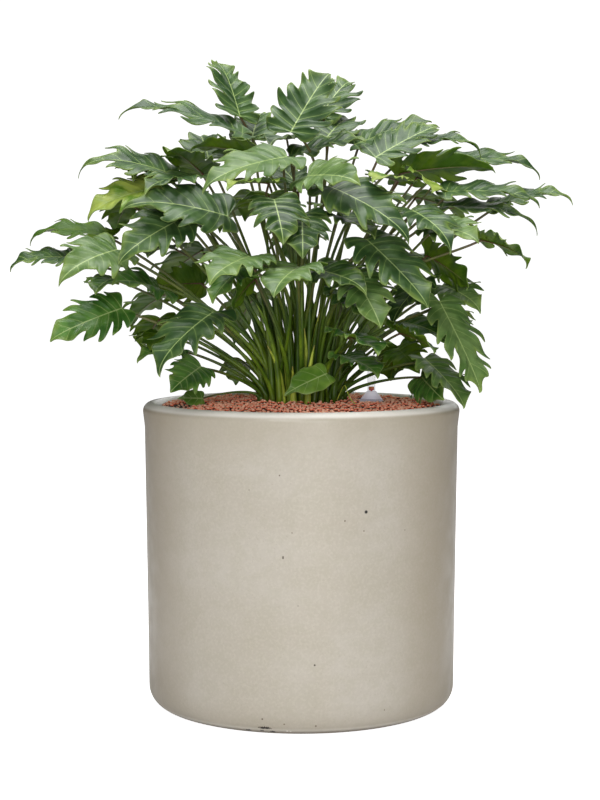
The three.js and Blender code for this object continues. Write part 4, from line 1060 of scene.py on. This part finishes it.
# %% Leaves: finish of the blades
TONES = {
    "grey": (srgb(44, 72, 34), srgb(72, 100, 54)),
    "pale": (srgb(76, 106, 50), srgb(104, 131, 72)),
    "deep": (srgb(36, 64, 22), srgb(58, 88, 34)),
    "olive": (srgb(70, 98, 18), srgb(98, 124, 30)),
    "lush": (srgb(52, 94, 30), srgb(88, 130, 54)),
    "lime": (srgb(88, 124, 26), srgb(160, 176, 78)),
    "fresh": (srgb(84, 122, 38), srgb(120, 154, 60)),
}
UNDERSIDE = (srgb(58, 92, 8), srgb(92, 120, 18))
SLOTS = {
    "grey": "leaf_grey_green", "pale": "leaf_pale_green",
    "deep": "leaf_deep_green", "olive": "leaf_olive_green",
    "fresh": "leaf_deep_green", "lime": "leaf_olive_green", "lush": "leaf_deep_green",
}


def blade_finish(tone):
    """Satin green with pale veins and margin above, olive below."""
    finish, tree, shader = new_finish("blade_" + tone, 0.4)
    here = place_on_object(tree)
    cloud = between(tree, noise(tree, here, 30.0, 3.0), 0.38, 0.62)
    grain = noise(tree, here, 95.0, 2.0)
    rib, vein, edge, under = (attribute(tree, name) for name in ("rib", "vein", "margin", "under"))
    vein_line = between(tree, vein, 0.3, -0.15, 0, 0.72)
    pale_line = combined(tree, "MAXIMUM", vein_line, between(tree, rib, 0.3, -0.2, 0, 0.9))
    soft_margin = combined(tree, "MULTIPLY", between(tree, edge, 7.0, 0.5, 0, 0.6), cloud)
    upper = layered(
        tree, mixed(tree, cloud, *TONES[tone]),
        (between(tree, vein, 4.0, 0.2, 0, 0.22), srgb(100, 128, 58)),
        (soft_margin, srgb(128, 150, 68)),
        (pale_line, srgb(164, 186, 116)),
        (between(tree, edge, 0.8, 0.3, 0, 0.5), srgb(150, 168, 100)),
    )
    lower = mixed(tree, cloud, *UNDERSIDE)
    lower = mixed(tree, combined(tree, "MULTIPLY", pale_line, 0.5), lower, srgb(112, 132, 52))
    dull = between(tree, grain, 0.4, 0.7, 0, 0.12)
    colour = layered(tree, upper, (under, lower), (dull, srgb(34, 52, 30)))
    feed(tree, shader.inputs["Base Color"], colour)
    feed(tree, shader.inputs["Roughness"], between(tree, under, 0, 1, 0.4, 0.55))
    shader.inputs["Specular IOR Level"].default_value = 0.3
    add_bump(tree, shader, grain, 0.0006, 0.12)
    return finish


BLADE_FINISHES = {tone: blade_finish(tone) for tone in TONES}
print("blade finishes:", list(BLADE_FINISHES))

# %% [markdown]
# ## The stalk's finish
# The stalks are a saturated green at the crown, darker at their very foot with painted shade, turn olive
# and brownish on the way up, and end in a maroon joint under the blade. The underside's midrib has the same
# maroon and fades into olive. Fine lengthwise streaks come from a noise that is drawn out along the height.

# %% Leaves: finish of the stalks
stalk_finish, tree, shader = new_finish("green_to_maroon_stalk", 0.42)
here = place_on_object(tree)
tall = attribute(tree, "tall")
streak = noise(tree, stretched(tree, here, (420, 420, 14)), 1.0, 2.0)
patch = noise(tree, here, 16.0, 2.0)
brown = mixed(tree, between(tree, patch, 0.4, 0.6), srgb(88, 88, 40), srgb(92, 72, 52))
colour = layered(
    tree, mixed(tree, between(tree, patch, 0.35, 0.65), srgb(62, 94, 12), srgb(112, 138, 30)),
    (between(tree, tall, 0.4, 0.9, 0, 0.75), brown),
    (between(tree, tall, 0.9, 0.99, 0, 0.7), srgb(96, 52, 40)),
    (between(tree, tall, 1.1, 1.5, 0, 0.8), srgb(104, 112, 54)),
    (between(tree, streak, 0.45, 0.7, 0, 0.5), srgb(48, 66, 14)),
    # Painted shade: darker towards the foot, where the stalks crowd on the crown.
    (between(tree, tall, 0.16, 0.0, 0, 0.6), srgb(44, 66, 10)),
)
feed(tree, shader.inputs["Base Color"], colour)
add_bump(tree, shader, streak, 0.0003)
print("stalk finish ready")

# %% [markdown]
# ## All the leaves
# One object is made for every CAD leaf node, with its one or more leaves in it. Where several stalks
# share a place on the crown, a low clasping collar holds them, as the leaf sheaths do on the real plant.
# Small leaves get one round of corner cutting instead of two, to keep the mesh light.

# %% Leaves: make every node
FOOT_MARGIN = 3.4
COLLAR_TAPER = 0.72
COLLAR_BEVEL = 1.6
COLLAR_SIDES = 14
COLLAR_TALL = 0.02
SMALL_LEAF = 62
FIRST_SEED = 100


def add_collar(bm, place, count, finish_index):
    """Starts a node's bmesh with a low, tapered and rounded collar that holds its stalks."""
    spacing = PAIR_SPACING if count < BUNCH_COUNT else BUNCH_SPACING
    radius = (spacing + FOOT_MARGIN) * MM
    bmesh.ops.create_cone(
        bm, cap_ends=True, segments=COLLAR_SIDES, radius1=radius, radius2=radius * COLLAR_TAPER,
        depth=FOOT_HEIGHT * MM,
    )
    middle = Vector(place * MM) + Vector((0, 0, FOOT_HEIGHT / 2 * MM))
    bmesh.ops.translate(bm, verts=bm.verts, vec=middle)
    top = [edge for edge in bm.edges if min(vert.co.z for vert in edge.verts) > middle.z]
    bmesh.ops.bevel(
        bm, geom=top, offset=COLLAR_BEVEL * MM, segments=2, profile=0.5, affect="EDGES", material=-1,
    )
    tall = bm.verts.layers.float["tall"]
    for vert in bm.verts:
        vert[tall] = COLLAR_TALL
    for face in bm.faces:
        face.material_index = finish_index


def leaf_piece(node):
    """All leaves of one CAD node as one piece."""
    own = [i for i, row in enumerate(LEAVES) if row[0] == node]
    tones = sorted({LEAVES[i][7] for i in own})
    bm = bmesh.new()
    for name in ("rib", "vein", "margin", "under", "tall"):
        bm.verts.layers.float.new(name)
    bm.loops.layers.uv.new("pattern")
    if len(own) > 1:
        add_collar(bm, crown_place(node), len(own), len(tones))
    for i in own:
        row, move = LEAVES[i], BLADE_MOVES[i]
        rng = np.random.default_rng(FIRST_SEED + i)
        rounds = 1 if row[3] < SMALL_LEAF else 2
        lines = add_blade(bm, row, move, rng, rounds, tones.index(row[7]))
        middle, radii, heights = stalk_line(row, move, STALK_FEET[i], found_stalks[i], lines)
        add_rod(bm, middle, radii, heights, STALK_COLUMNS, len(tones), STALK_CHANNEL)
    bmesh.ops.recalc_face_normals(bm, faces=bm.faces)
    finishes = [BLADE_FINISHES[tone] for tone in tones] + [stalk_finish]
    return finish_piece(node + "_fine", bm, finishes, SLOTS[LEAVES[own[0]][7]], node)


leaf_pieces = [leaf_piece(node) for node in NODES]
print("leaf pieces:", len(leaf_pieces), "triangles:", sum(map(triangles, leaf_pieces)))

# %% [markdown]
# ## The crown and its sheaths
# The stalks grow from a short woody stem that is set in the granules. Between them stand pale, pointed
# sheaths, which are the wrappings of leaves to come, and many short young shoots, which make the bunch as
# dense as it is. The stem is spun from a short section. Each sheath, each shoot and the one thin tendril
# is a rolled grid like the stalks, thick at its foot and drawn out to a point.

# %% Crown: stem and sheaths
CROWN_BOTTOM = 350
CROWN_TAPER = 0.7
SHEATH_TIPS = [
    (-46, 488, -70), (-12, 460, -75), (-37, 519, -45),
    (25, 534, -50), (4, 512, -60), (18, 489, -72),
]
SHEATH_ROWS = 14
SHEATH_BEND, SHOOT_BEND = 0.55, 0.6
SHOOTS = 44
SHOOT_RISE = (80, 185)
SHOOT_LEAN = (0.25, 1.3)
SHOOT_SEED = 41
TENDRIL = [(48, -30, 416), (66, -48, 462), (52, -62, 420), (76, -66, 412)]
TENDRIL_ROWS = 16
ROOT_SPREAD = 57


def crown_places(count):
    """Places on the crown in a sunflower's pattern."""
    turn = math.pi * (3 - math.sqrt(5))
    radii = [ROOT_SPREAD * math.sqrt((i + 0.5) / count) for i in range(count)]
    return [
        np.array((r * math.cos(i * turn), r * math.sin(i * turn))) for i, r in enumerate(radii)
    ]


def sheath_feet():
    """The foot of each sheath, at the free place on the crown that lies best below its tip."""
    places = crown_places(len(NODES) + len(SHEATH_TIPS))
    feet = []
    for tip in SHEATH_TIPS:
        head = seen_place(tip, 0, 0)
        lean = head[:2]
        wanted = unit(lean) * ROOT_SPREAD * min(1.0, np.linalg.norm(lean) / (head[2] - CROWN_TOP))
        places.sort(key=lambda place: np.linalg.norm(place - wanted))
        feet.append((places.pop(0), head))
    return feet


def bent_path(base, elbow, head):
    """Middle points of a curve with one bend, and the share of the way at each."""
    share = np.linspace(0, 1, SHEATH_ROWS)[:, None]
    middle = (1 - share) ** 2 * base + 2 * (1 - share) * share * elbow + share ** 2 * head
    return middle, share[:, 0]


crown_bm = bmesh.new()
crown_bm.verts.layers.float.new("tall")
low_radius = CROWN_RADIUS * CROWN_TAPER
spin_profile(crown_bm, [
    (0, CROWN_BOTTOM), (low_radius - 3, CROWN_BOTTOM), (low_radius, CROWN_BOTTOM + 3),
    (CROWN_RADIUS - 1, CROWN_TOP - 4), (CROWN_RADIUS - 3, CROWN_TOP - 1.2),
    (CROWN_RADIUS - 8, CROWN_TOP - 0.3), (30, CROWN_TOP), (0, CROWN_TOP),
], 64)
for foot, head in sheath_feet():
    elbow = np.array((*foot, CROWN_TOP + (head[2] - CROWN_TOP) * SHEATH_BEND))
    middle, share = bent_path(np.array((*foot, CROWN_TOP - 4)), elbow, head)
    radii = 5.2 * (1 - share) ** 0.8 * (1 + 0.12 * np.sin(share * 3)) + 0.4
    add_rod(crown_bm, middle, radii, 0.05 + share, 10, 0, channel=0.45)
shoot_rng = np.random.default_rng(SHOOT_SEED)
for foot in crown_places(SHOOTS):
    base = np.array((*foot, CROWN_TOP - 3))
    rise = shoot_rng.uniform(*SHOOT_RISE)
    lean = shoot_rng.uniform(*SHOOT_LEAN)
    head = np.array((foot[0] * (1 + lean), foot[1] * (1 + lean), CROWN_TOP + rise))
    middle, share = bent_path(base, base + UP * rise * SHOOT_BEND, head)
    radii = 4.6 * (1 - share) ** 0.5 + 0.35
    add_rod(crown_bm, middle, radii, 0.1 + 0.4 * share, 8, 1, channel=0.3)
tendril = along_curve([np.array(p, float) for p in TENDRIL], np.linspace(0, 1, TENDRIL_ROWS))
thin, level = np.linspace(0.9, 0.5, TENDRIL_ROWS), np.full(TENDRIL_ROWS, 0.6)
add_rod(crown_bm, tendril, thin, level, 6, 0)
bmesh.ops.recalc_face_normals(crown_bm, faces=crown_bm.faces)

sheath_finish, tree, shader = new_finish("pale_sheath", 0.5)
here = place_on_object(tree)
tall = attribute(tree, "tall")
streak = noise(tree, stretched(tree, here, (320, 320, 12)), 1.0, 2.0)
pale = mixed(tree, between(tree, streak, 0.35, 0.7), srgb(190, 202, 78), srgb(140, 164, 48))
pale = mixed(tree, between(tree, tall, 0.9, 1.05, 0, 0.8), pale, srgb(150, 120, 70))
wood = mixed(tree, noise(tree, here, 60.0, 3.0), srgb(58, 48, 30), srgb(88, 80, 44))
colour = mixed(tree, between(tree, tall, 0.01, 0.12), wood, pale)
feed(tree, shader.inputs["Base Color"], colour)
add_bump(tree, shader, streak, 0.0004)
crown_finishes = [sheath_finish, stalk_finish]
crown = finish_piece("crown_with_sheaths", crown_bm, crown_finishes, "crown_tissue", "crown")
print("crown:", triangles(crown), "triangles")

# %% [markdown]
# ## The water gauge
# A clear tube reaches from the pot's floor to above the granules. A red mark on the float inside it shows
# the water level, and a flared skirt of tinted plastic sits on the granules round its foot. All three are
# turned parts, so each is a spun section. The tube is see-through, and its film of plastic shows only on
# its outer wall, more towards its edges. The skirt is darker and denser at its brim and milky above, and a
# faint glow of painted light brightens it.

# %% Gauge: tube, skirt and float
GAUGE_X = 95.8
GAUGE_Y = 8
TUBE_RADIUS = 5.5
TUBE_BORE = 4.3
TUBE_TOP = 476
TUBE_CAP = 3
GAUGE_STEPS = 40
FLOAT_STEPS = 28
SKIRT_BRIM, SKIRT_LOW, SKIRT_TOP = 16, 412, 426
FLOAT_RADIUS, FLOAT_ROD = 3.8, 1.2
MARK_LOW, MARK_HIGH = 427, 432

tube_bm = bmesh.new()
spin_profile(tube_bm, [
    (TUBE_BORE, POT_FLOOR + GAP), (TUBE_RADIUS, POT_FLOOR + GAP), (TUBE_RADIUS, TUBE_TOP - TUBE_CAP),
    (TUBE_RADIUS - 0.4, TUBE_TOP - 1.2), (TUBE_RADIUS - 1.5, TUBE_TOP - 0.2), (2.6, TUBE_TOP),
    (0, TUBE_TOP), (0, TUBE_TOP - TUBE_CAP), (TUBE_BORE, TUBE_TOP - TUBE_CAP),
    (TUBE_BORE, POT_FLOOR + GAP),
], GAUGE_STEPS, GAUGE_X, GAUGE_Y)
outer = tube_bm.verts.layers.float.new("outer")
for vert in tube_bm.verts:
    from_axis = math.hypot(vert.co.x / MM - GAUGE_X, vert.co.y / MM - GAUGE_Y)
    vert[outer] = float(from_axis > TUBE_BORE + 0.5)
clear_plastic, tree, shader = new_finish("clear_plastic", 0.14)
here = place_on_object(tree)
scuff = between(tree, noise(tree, stretched(tree, here, (60, 60, 20)), 1.0, 2.0), 0.4, 0.7)
rim_view = add(tree, "LayerWeight", {"Blend": 0.35}).outputs["Facing"]
feed(tree, shader.inputs["Base Color"], mixed(tree, scuff, srgb(184, 182, 196), srgb(160, 158, 174)))
film = between(tree, rim_view, 0.2, 0.95, 0.2, 0.6)
feed(tree, shader.inputs["Alpha"], combined(tree, "MULTIPLY", film, attribute(tree, "outer")))
shader.inputs["IOR"].default_value = 1.3
tube = finish_piece("gauge_tube_clear", tube_bm, [clear_plastic], "clear_tube", "gauge_tube")

skirt_bm = bmesh.new()
inner = TUBE_RADIUS + GAP
spin_profile(skirt_bm, [
    (inner, SKIRT_LOW), (SKIRT_BRIM - 0.8, SKIRT_LOW), (SKIRT_BRIM, SKIRT_LOW + 0.5),
    (SKIRT_BRIM, SKIRT_LOW + 1.6), (SKIRT_BRIM - 0.8, SKIRT_LOW + 2.6), (12.4, 418.6), (9.6, 421.8),
    (8.0, 423.6), (7.3, 425.4), (6.7, SKIRT_TOP), (inner, SKIRT_TOP), (inner, SKIRT_LOW),
], GAUGE_STEPS, GAUGE_X, GAUGE_Y)
skirt_plastic, tree, shader = new_finish("tinted_skirt", 0.22)
here = place_on_object(tree)
height = axis_of(tree, here, "Z")
cloud = noise(tree, here, 90.0, 2.0)
tint = layered(
    tree, srgb(58, 54, 66),
    (between(tree, height, 0.4152, 0.4162), srgb(212, 209, 222)),
    (between(tree, height, 0.417, 0.423), srgb(246, 245, 251)),
    (between(tree, cloud, 0.5, 0.7, 0, 0.2), srgb(160, 156, 170)),
)
feed(tree, shader.inputs["Base Color"], tint)
shader.inputs["Alpha"].default_value = 0.62
# A faint glow: painted light that brightens the skirt.
shader.inputs["Emission Color"].default_value = srgb(222, 219, 230)
shader.inputs["Emission Strength"].default_value = 0.24
skirt = finish_piece("gauge_skirt_flared", skirt_bm, [skirt_plastic], "gauge_skirt", "gauge_skirt")

float_bm = bmesh.new()
spin_profile(float_bm, [
    (0, POT_FLOOR + GAP), (3.2, POT_FLOOR + GAP), (FLOAT_RADIUS, POT_FLOOR + 1), (FLOAT_RADIUS, 75),
    (3.2, 77.5), (FLOAT_ROD, 80), (FLOAT_ROD, MARK_LOW), (3.4, MARK_LOW), (FLOAT_RADIUS, MARK_LOW + 0.5),
    (FLOAT_RADIUS, MARK_HIGH - 0.5), (3.4, MARK_HIGH), (0, MARK_HIGH),
], FLOAT_STEPS, GAUGE_X, GAUGE_Y)
float_red, tree, shader = new_finish("float_red", 0.6)
here = place_on_object(tree)
fleck = noise(tree, here, 260.0, 2.0)
red = mixed(tree, between(tree, fleck, 0.35, 0.7), srgb(240, 78, 26), srgb(214, 52, 20))
mark_top = between(tree, axis_of(tree, here, "Z"), 0.4285, 0.4305)
feed(tree, shader.inputs["Base Color"], mixed(tree, mark_top, red, srgb(242, 132, 30)))
add_bump(tree, shader, fleck, 0.0002)
gauge_float = finish_piece("gauge_float_red", float_bm, [float_red], "red_float", "gauge_float")
print("gauge:", [triangles(piece) for piece in (tube, skirt, gauge_float)], "triangles")

# %% [markdown]
# ## The clay granules
# The pot is filled with small baked clay granules, four to five millimetres across, red-brown with paler
# dust and dark gaps between them. Thousands of them show, so each one is only an icosahedron, squeezed
# and turned a little. They are scattered in rings over the CAD surface, which stays underneath as the
# dark bed, and a ray cast down onto it seats each one. They keep off the stalks and the gauge, and lie a
# little lower under the lowest leaf, round the gauge and along the rim.

# %% Granules: scatter, seat and shape
GRANULE = 5.1
BED_RADIUS = 189.5
CROWN_CLEAR = 44
LOW_LEAF = (-150, -42)
LOW_LEAF_REACH = 30
LOW_LEAF_DIP = 2.2
GAUGE_CLEAR = 17.4
STALK_CLEAR = 5.4
GAUGE_HOLLOW = 42
HOLLOW_RIM = 178
HOLLOW_DIP = 1.8
BED_LOWEST = 404
GRANULE_LIFT = (-2.1, 2.7)
GRANULE_GROWTH = (0.82, 1.06)
GRANULE_SQUEEZE = (0.92, 1.04)
GRANULE_TONE = (0.36, 1.05)
PAINTED_SHADE_DROP, PAINTED_TOP_LIGHT = 0.44, 1.1
GRANULE_SEED = 7
RING_GAP = 0.95
RINGS = int(BED_RADIUS / (GRANULE * RING_GAP))


def bed_tree():
    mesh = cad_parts["substrate"].data
    places = [v.co.copy() for v in mesh.vertices]
    return BVHTree.FromPolygons(places, [tuple(face.vertices) for face in mesh.polygons])


def bed_height(bed, x, y):
    hit = bed.ray_cast(Vector((x * MM, y * MM, 0.5)), Vector((0, 0, -1)))[0]
    return max(hit.z / MM, BED_LOWEST) if hit else CROWN_TOP


def granule_places(rng):
    """Places of all granules, ring by ring, off the stalks' feet and the gauge."""
    bed = bed_tree()
    feet = np.array([foot[:2] for foot in STALK_FEET])
    rings = []
    for ring in range(RINGS):
        radius = BED_RADIUS - GRANULE / 2 - ring * GRANULE * RING_GAP
        if radius < CROWN_CLEAR:
            break
        count = int(2 * math.pi * radius / GRANULE)
        turn = rng.uniform(0, 2 * math.pi)
        places = []
        for k in range(count):
            angle = turn + 2 * math.pi * (k + rng.uniform(-0.12, 0.12)) / count
            r = radius + rng.uniform(-0.6, 0.6)
            x, y = r * math.cos(angle), r * math.sin(angle)
            off_gauge = math.hypot(x - GAUGE_X, y - GAUGE_Y)
            off_stalks = np.linalg.norm(feet - (x, y), axis=1).min()
            if off_gauge < GAUGE_CLEAR or off_stalks < STALK_CLEAR:
                continue
            lift = bed_height(bed, x, y) if r > CROWN_RADIUS else CROWN_TOP - 0.4
            if math.hypot(x - LOW_LEAF[0], y - LOW_LEAF[1]) < LOW_LEAF_REACH:
                lift -= LOW_LEAF_DIP
            if off_gauge < GAUGE_HOLLOW or r > HOLLOW_RIM:
                lift -= HOLLOW_DIP
            places.append((x, y, lift + rng.uniform(*GRANULE_LIFT)))
        rings.append(places)
    return rings


def granule_ring(places, rng):
    """One ring of granules as a small mesh."""
    bm = bmesh.new()
    shade = bm.verts.layers.float.new("shade")
    for x, y, z in places:
        radius = GRANULE / 2 * rng.uniform(*GRANULE_GROWTH)
        verts = bmesh.ops.create_icosphere(bm, subdivisions=1, radius=radius * MM)["verts"]
        bmesh.ops.scale(bm, verts=verts, vec=rng.uniform(*GRANULE_SQUEEZE, 3).tolist())
        turn = Vector(rng.uniform(-1, 1, 3)).to_track_quat("Z", "Y").to_matrix()
        bmesh.ops.rotate(bm, verts=verts, cent=(0, 0, 0), matrix=turn)
        bmesh.ops.translate(bm, verts=verts, vec=(x * MM, y * MM, z * MM))
        tone = rng.uniform(*GRANULE_TONE)
        for vert in verts:
            # Painted light and shade: lighter on the granule's top, darker below towards the gaps.
            upper = (vert.co.z / MM - z) / radius
            vert[shade] = min(1, max(0, tone - PAINTED_SHADE_DROP + PAINTED_TOP_LIGHT * upper))
    mesh = bpy.data.meshes.new("ring")
    bm.to_mesh(mesh)
    bm.free()
    return mesh


rng = np.random.default_rng(GRANULE_SEED)
rings = granule_places(rng)
bed_bm = bmesh.new()
bed_bm.verts.layers.float.new("shade")
for places in rings:
    ring_mesh = granule_ring(places, rng)
    bed_bm.from_mesh(ring_mesh)
    bpy.data.meshes.remove(ring_mesh)
print("granules:", sum(len(places) for places in rings), "in", len(rings), "rings")

# %% [markdown]
# ## The clay's finish
# Baked clay is matt. Each granule has its own tone between dull brown, brick red and orange, which was kept
# on its vertices together with painted light on its top and painted shade towards the gaps, and a fine
# noise adds dust and pores. The CAD surface below keeps its place and gets the same clay in a much darker,
# shaded tone, because it is only seen through the gaps.

# %% Granules: finish
def clay_finish(name, dark, red, orange, shade):
    """Matt clay whose tone comes from the shade kept on the granules, painted light and shade included, or
    from a noise.
    """
    finish, tree, shader = new_finish(name, 0.92)
    here = place_on_object(tree)
    tone = attribute(tree, "shade") if shade else noise(tree, here, 240.0, 1.0)
    dust = noise(tree, here, 900.0, 2.0)
    colour = layered(
        tree, dark,
        (between(tree, tone, 0.0, 0.4), red),
        (between(tree, tone, 0.4, 1.0), orange),
        (between(tree, dust, 0.55, 0.8, 0, 0.4), srgb(196, 150, 132)),
    )
    feed(tree, shader.inputs["Base Color"], colour)
    add_bump(tree, shader, dust, 0.0005)
    return finish


clay = clay_finish("baked_clay", srgb(16, 6, 5), srgb(244, 118, 86), srgb(255, 203, 172), True)
shaded_clay = clay_finish("shaded_clay", srgb(34, 20, 16), srgb(58, 32, 24), srgb(70, 40, 30), False)
granules = finish_piece("clay_granules_loose", bed_bm, [clay], "clay_granules")
bed_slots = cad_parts["substrate"].material_slots
for slot in bed_slots:
    slot.material = shaded_clay
print("granule piece:", triangles(granules), "triangles; bed slots:", len(bed_slots))

# %% [markdown]
# ## Sizes against the CAD box
# The box of the finished model is compared with the CAD box, because the CAD model says how large the
# object is, and the change at each corner is printed.

# %% Sizes against the CAD box
DRESSED_BOX = [list(corner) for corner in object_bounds()]
for name, cad_corner, new_corner in zip(("lowest", "highest"), CAD_BOX, DRESSED_BOX):
    change = [round((b - a) / MM, 2) for a, b in zip(cad_corner, new_corner)]
    print(name, "corner against the CAD model, mm:", change)
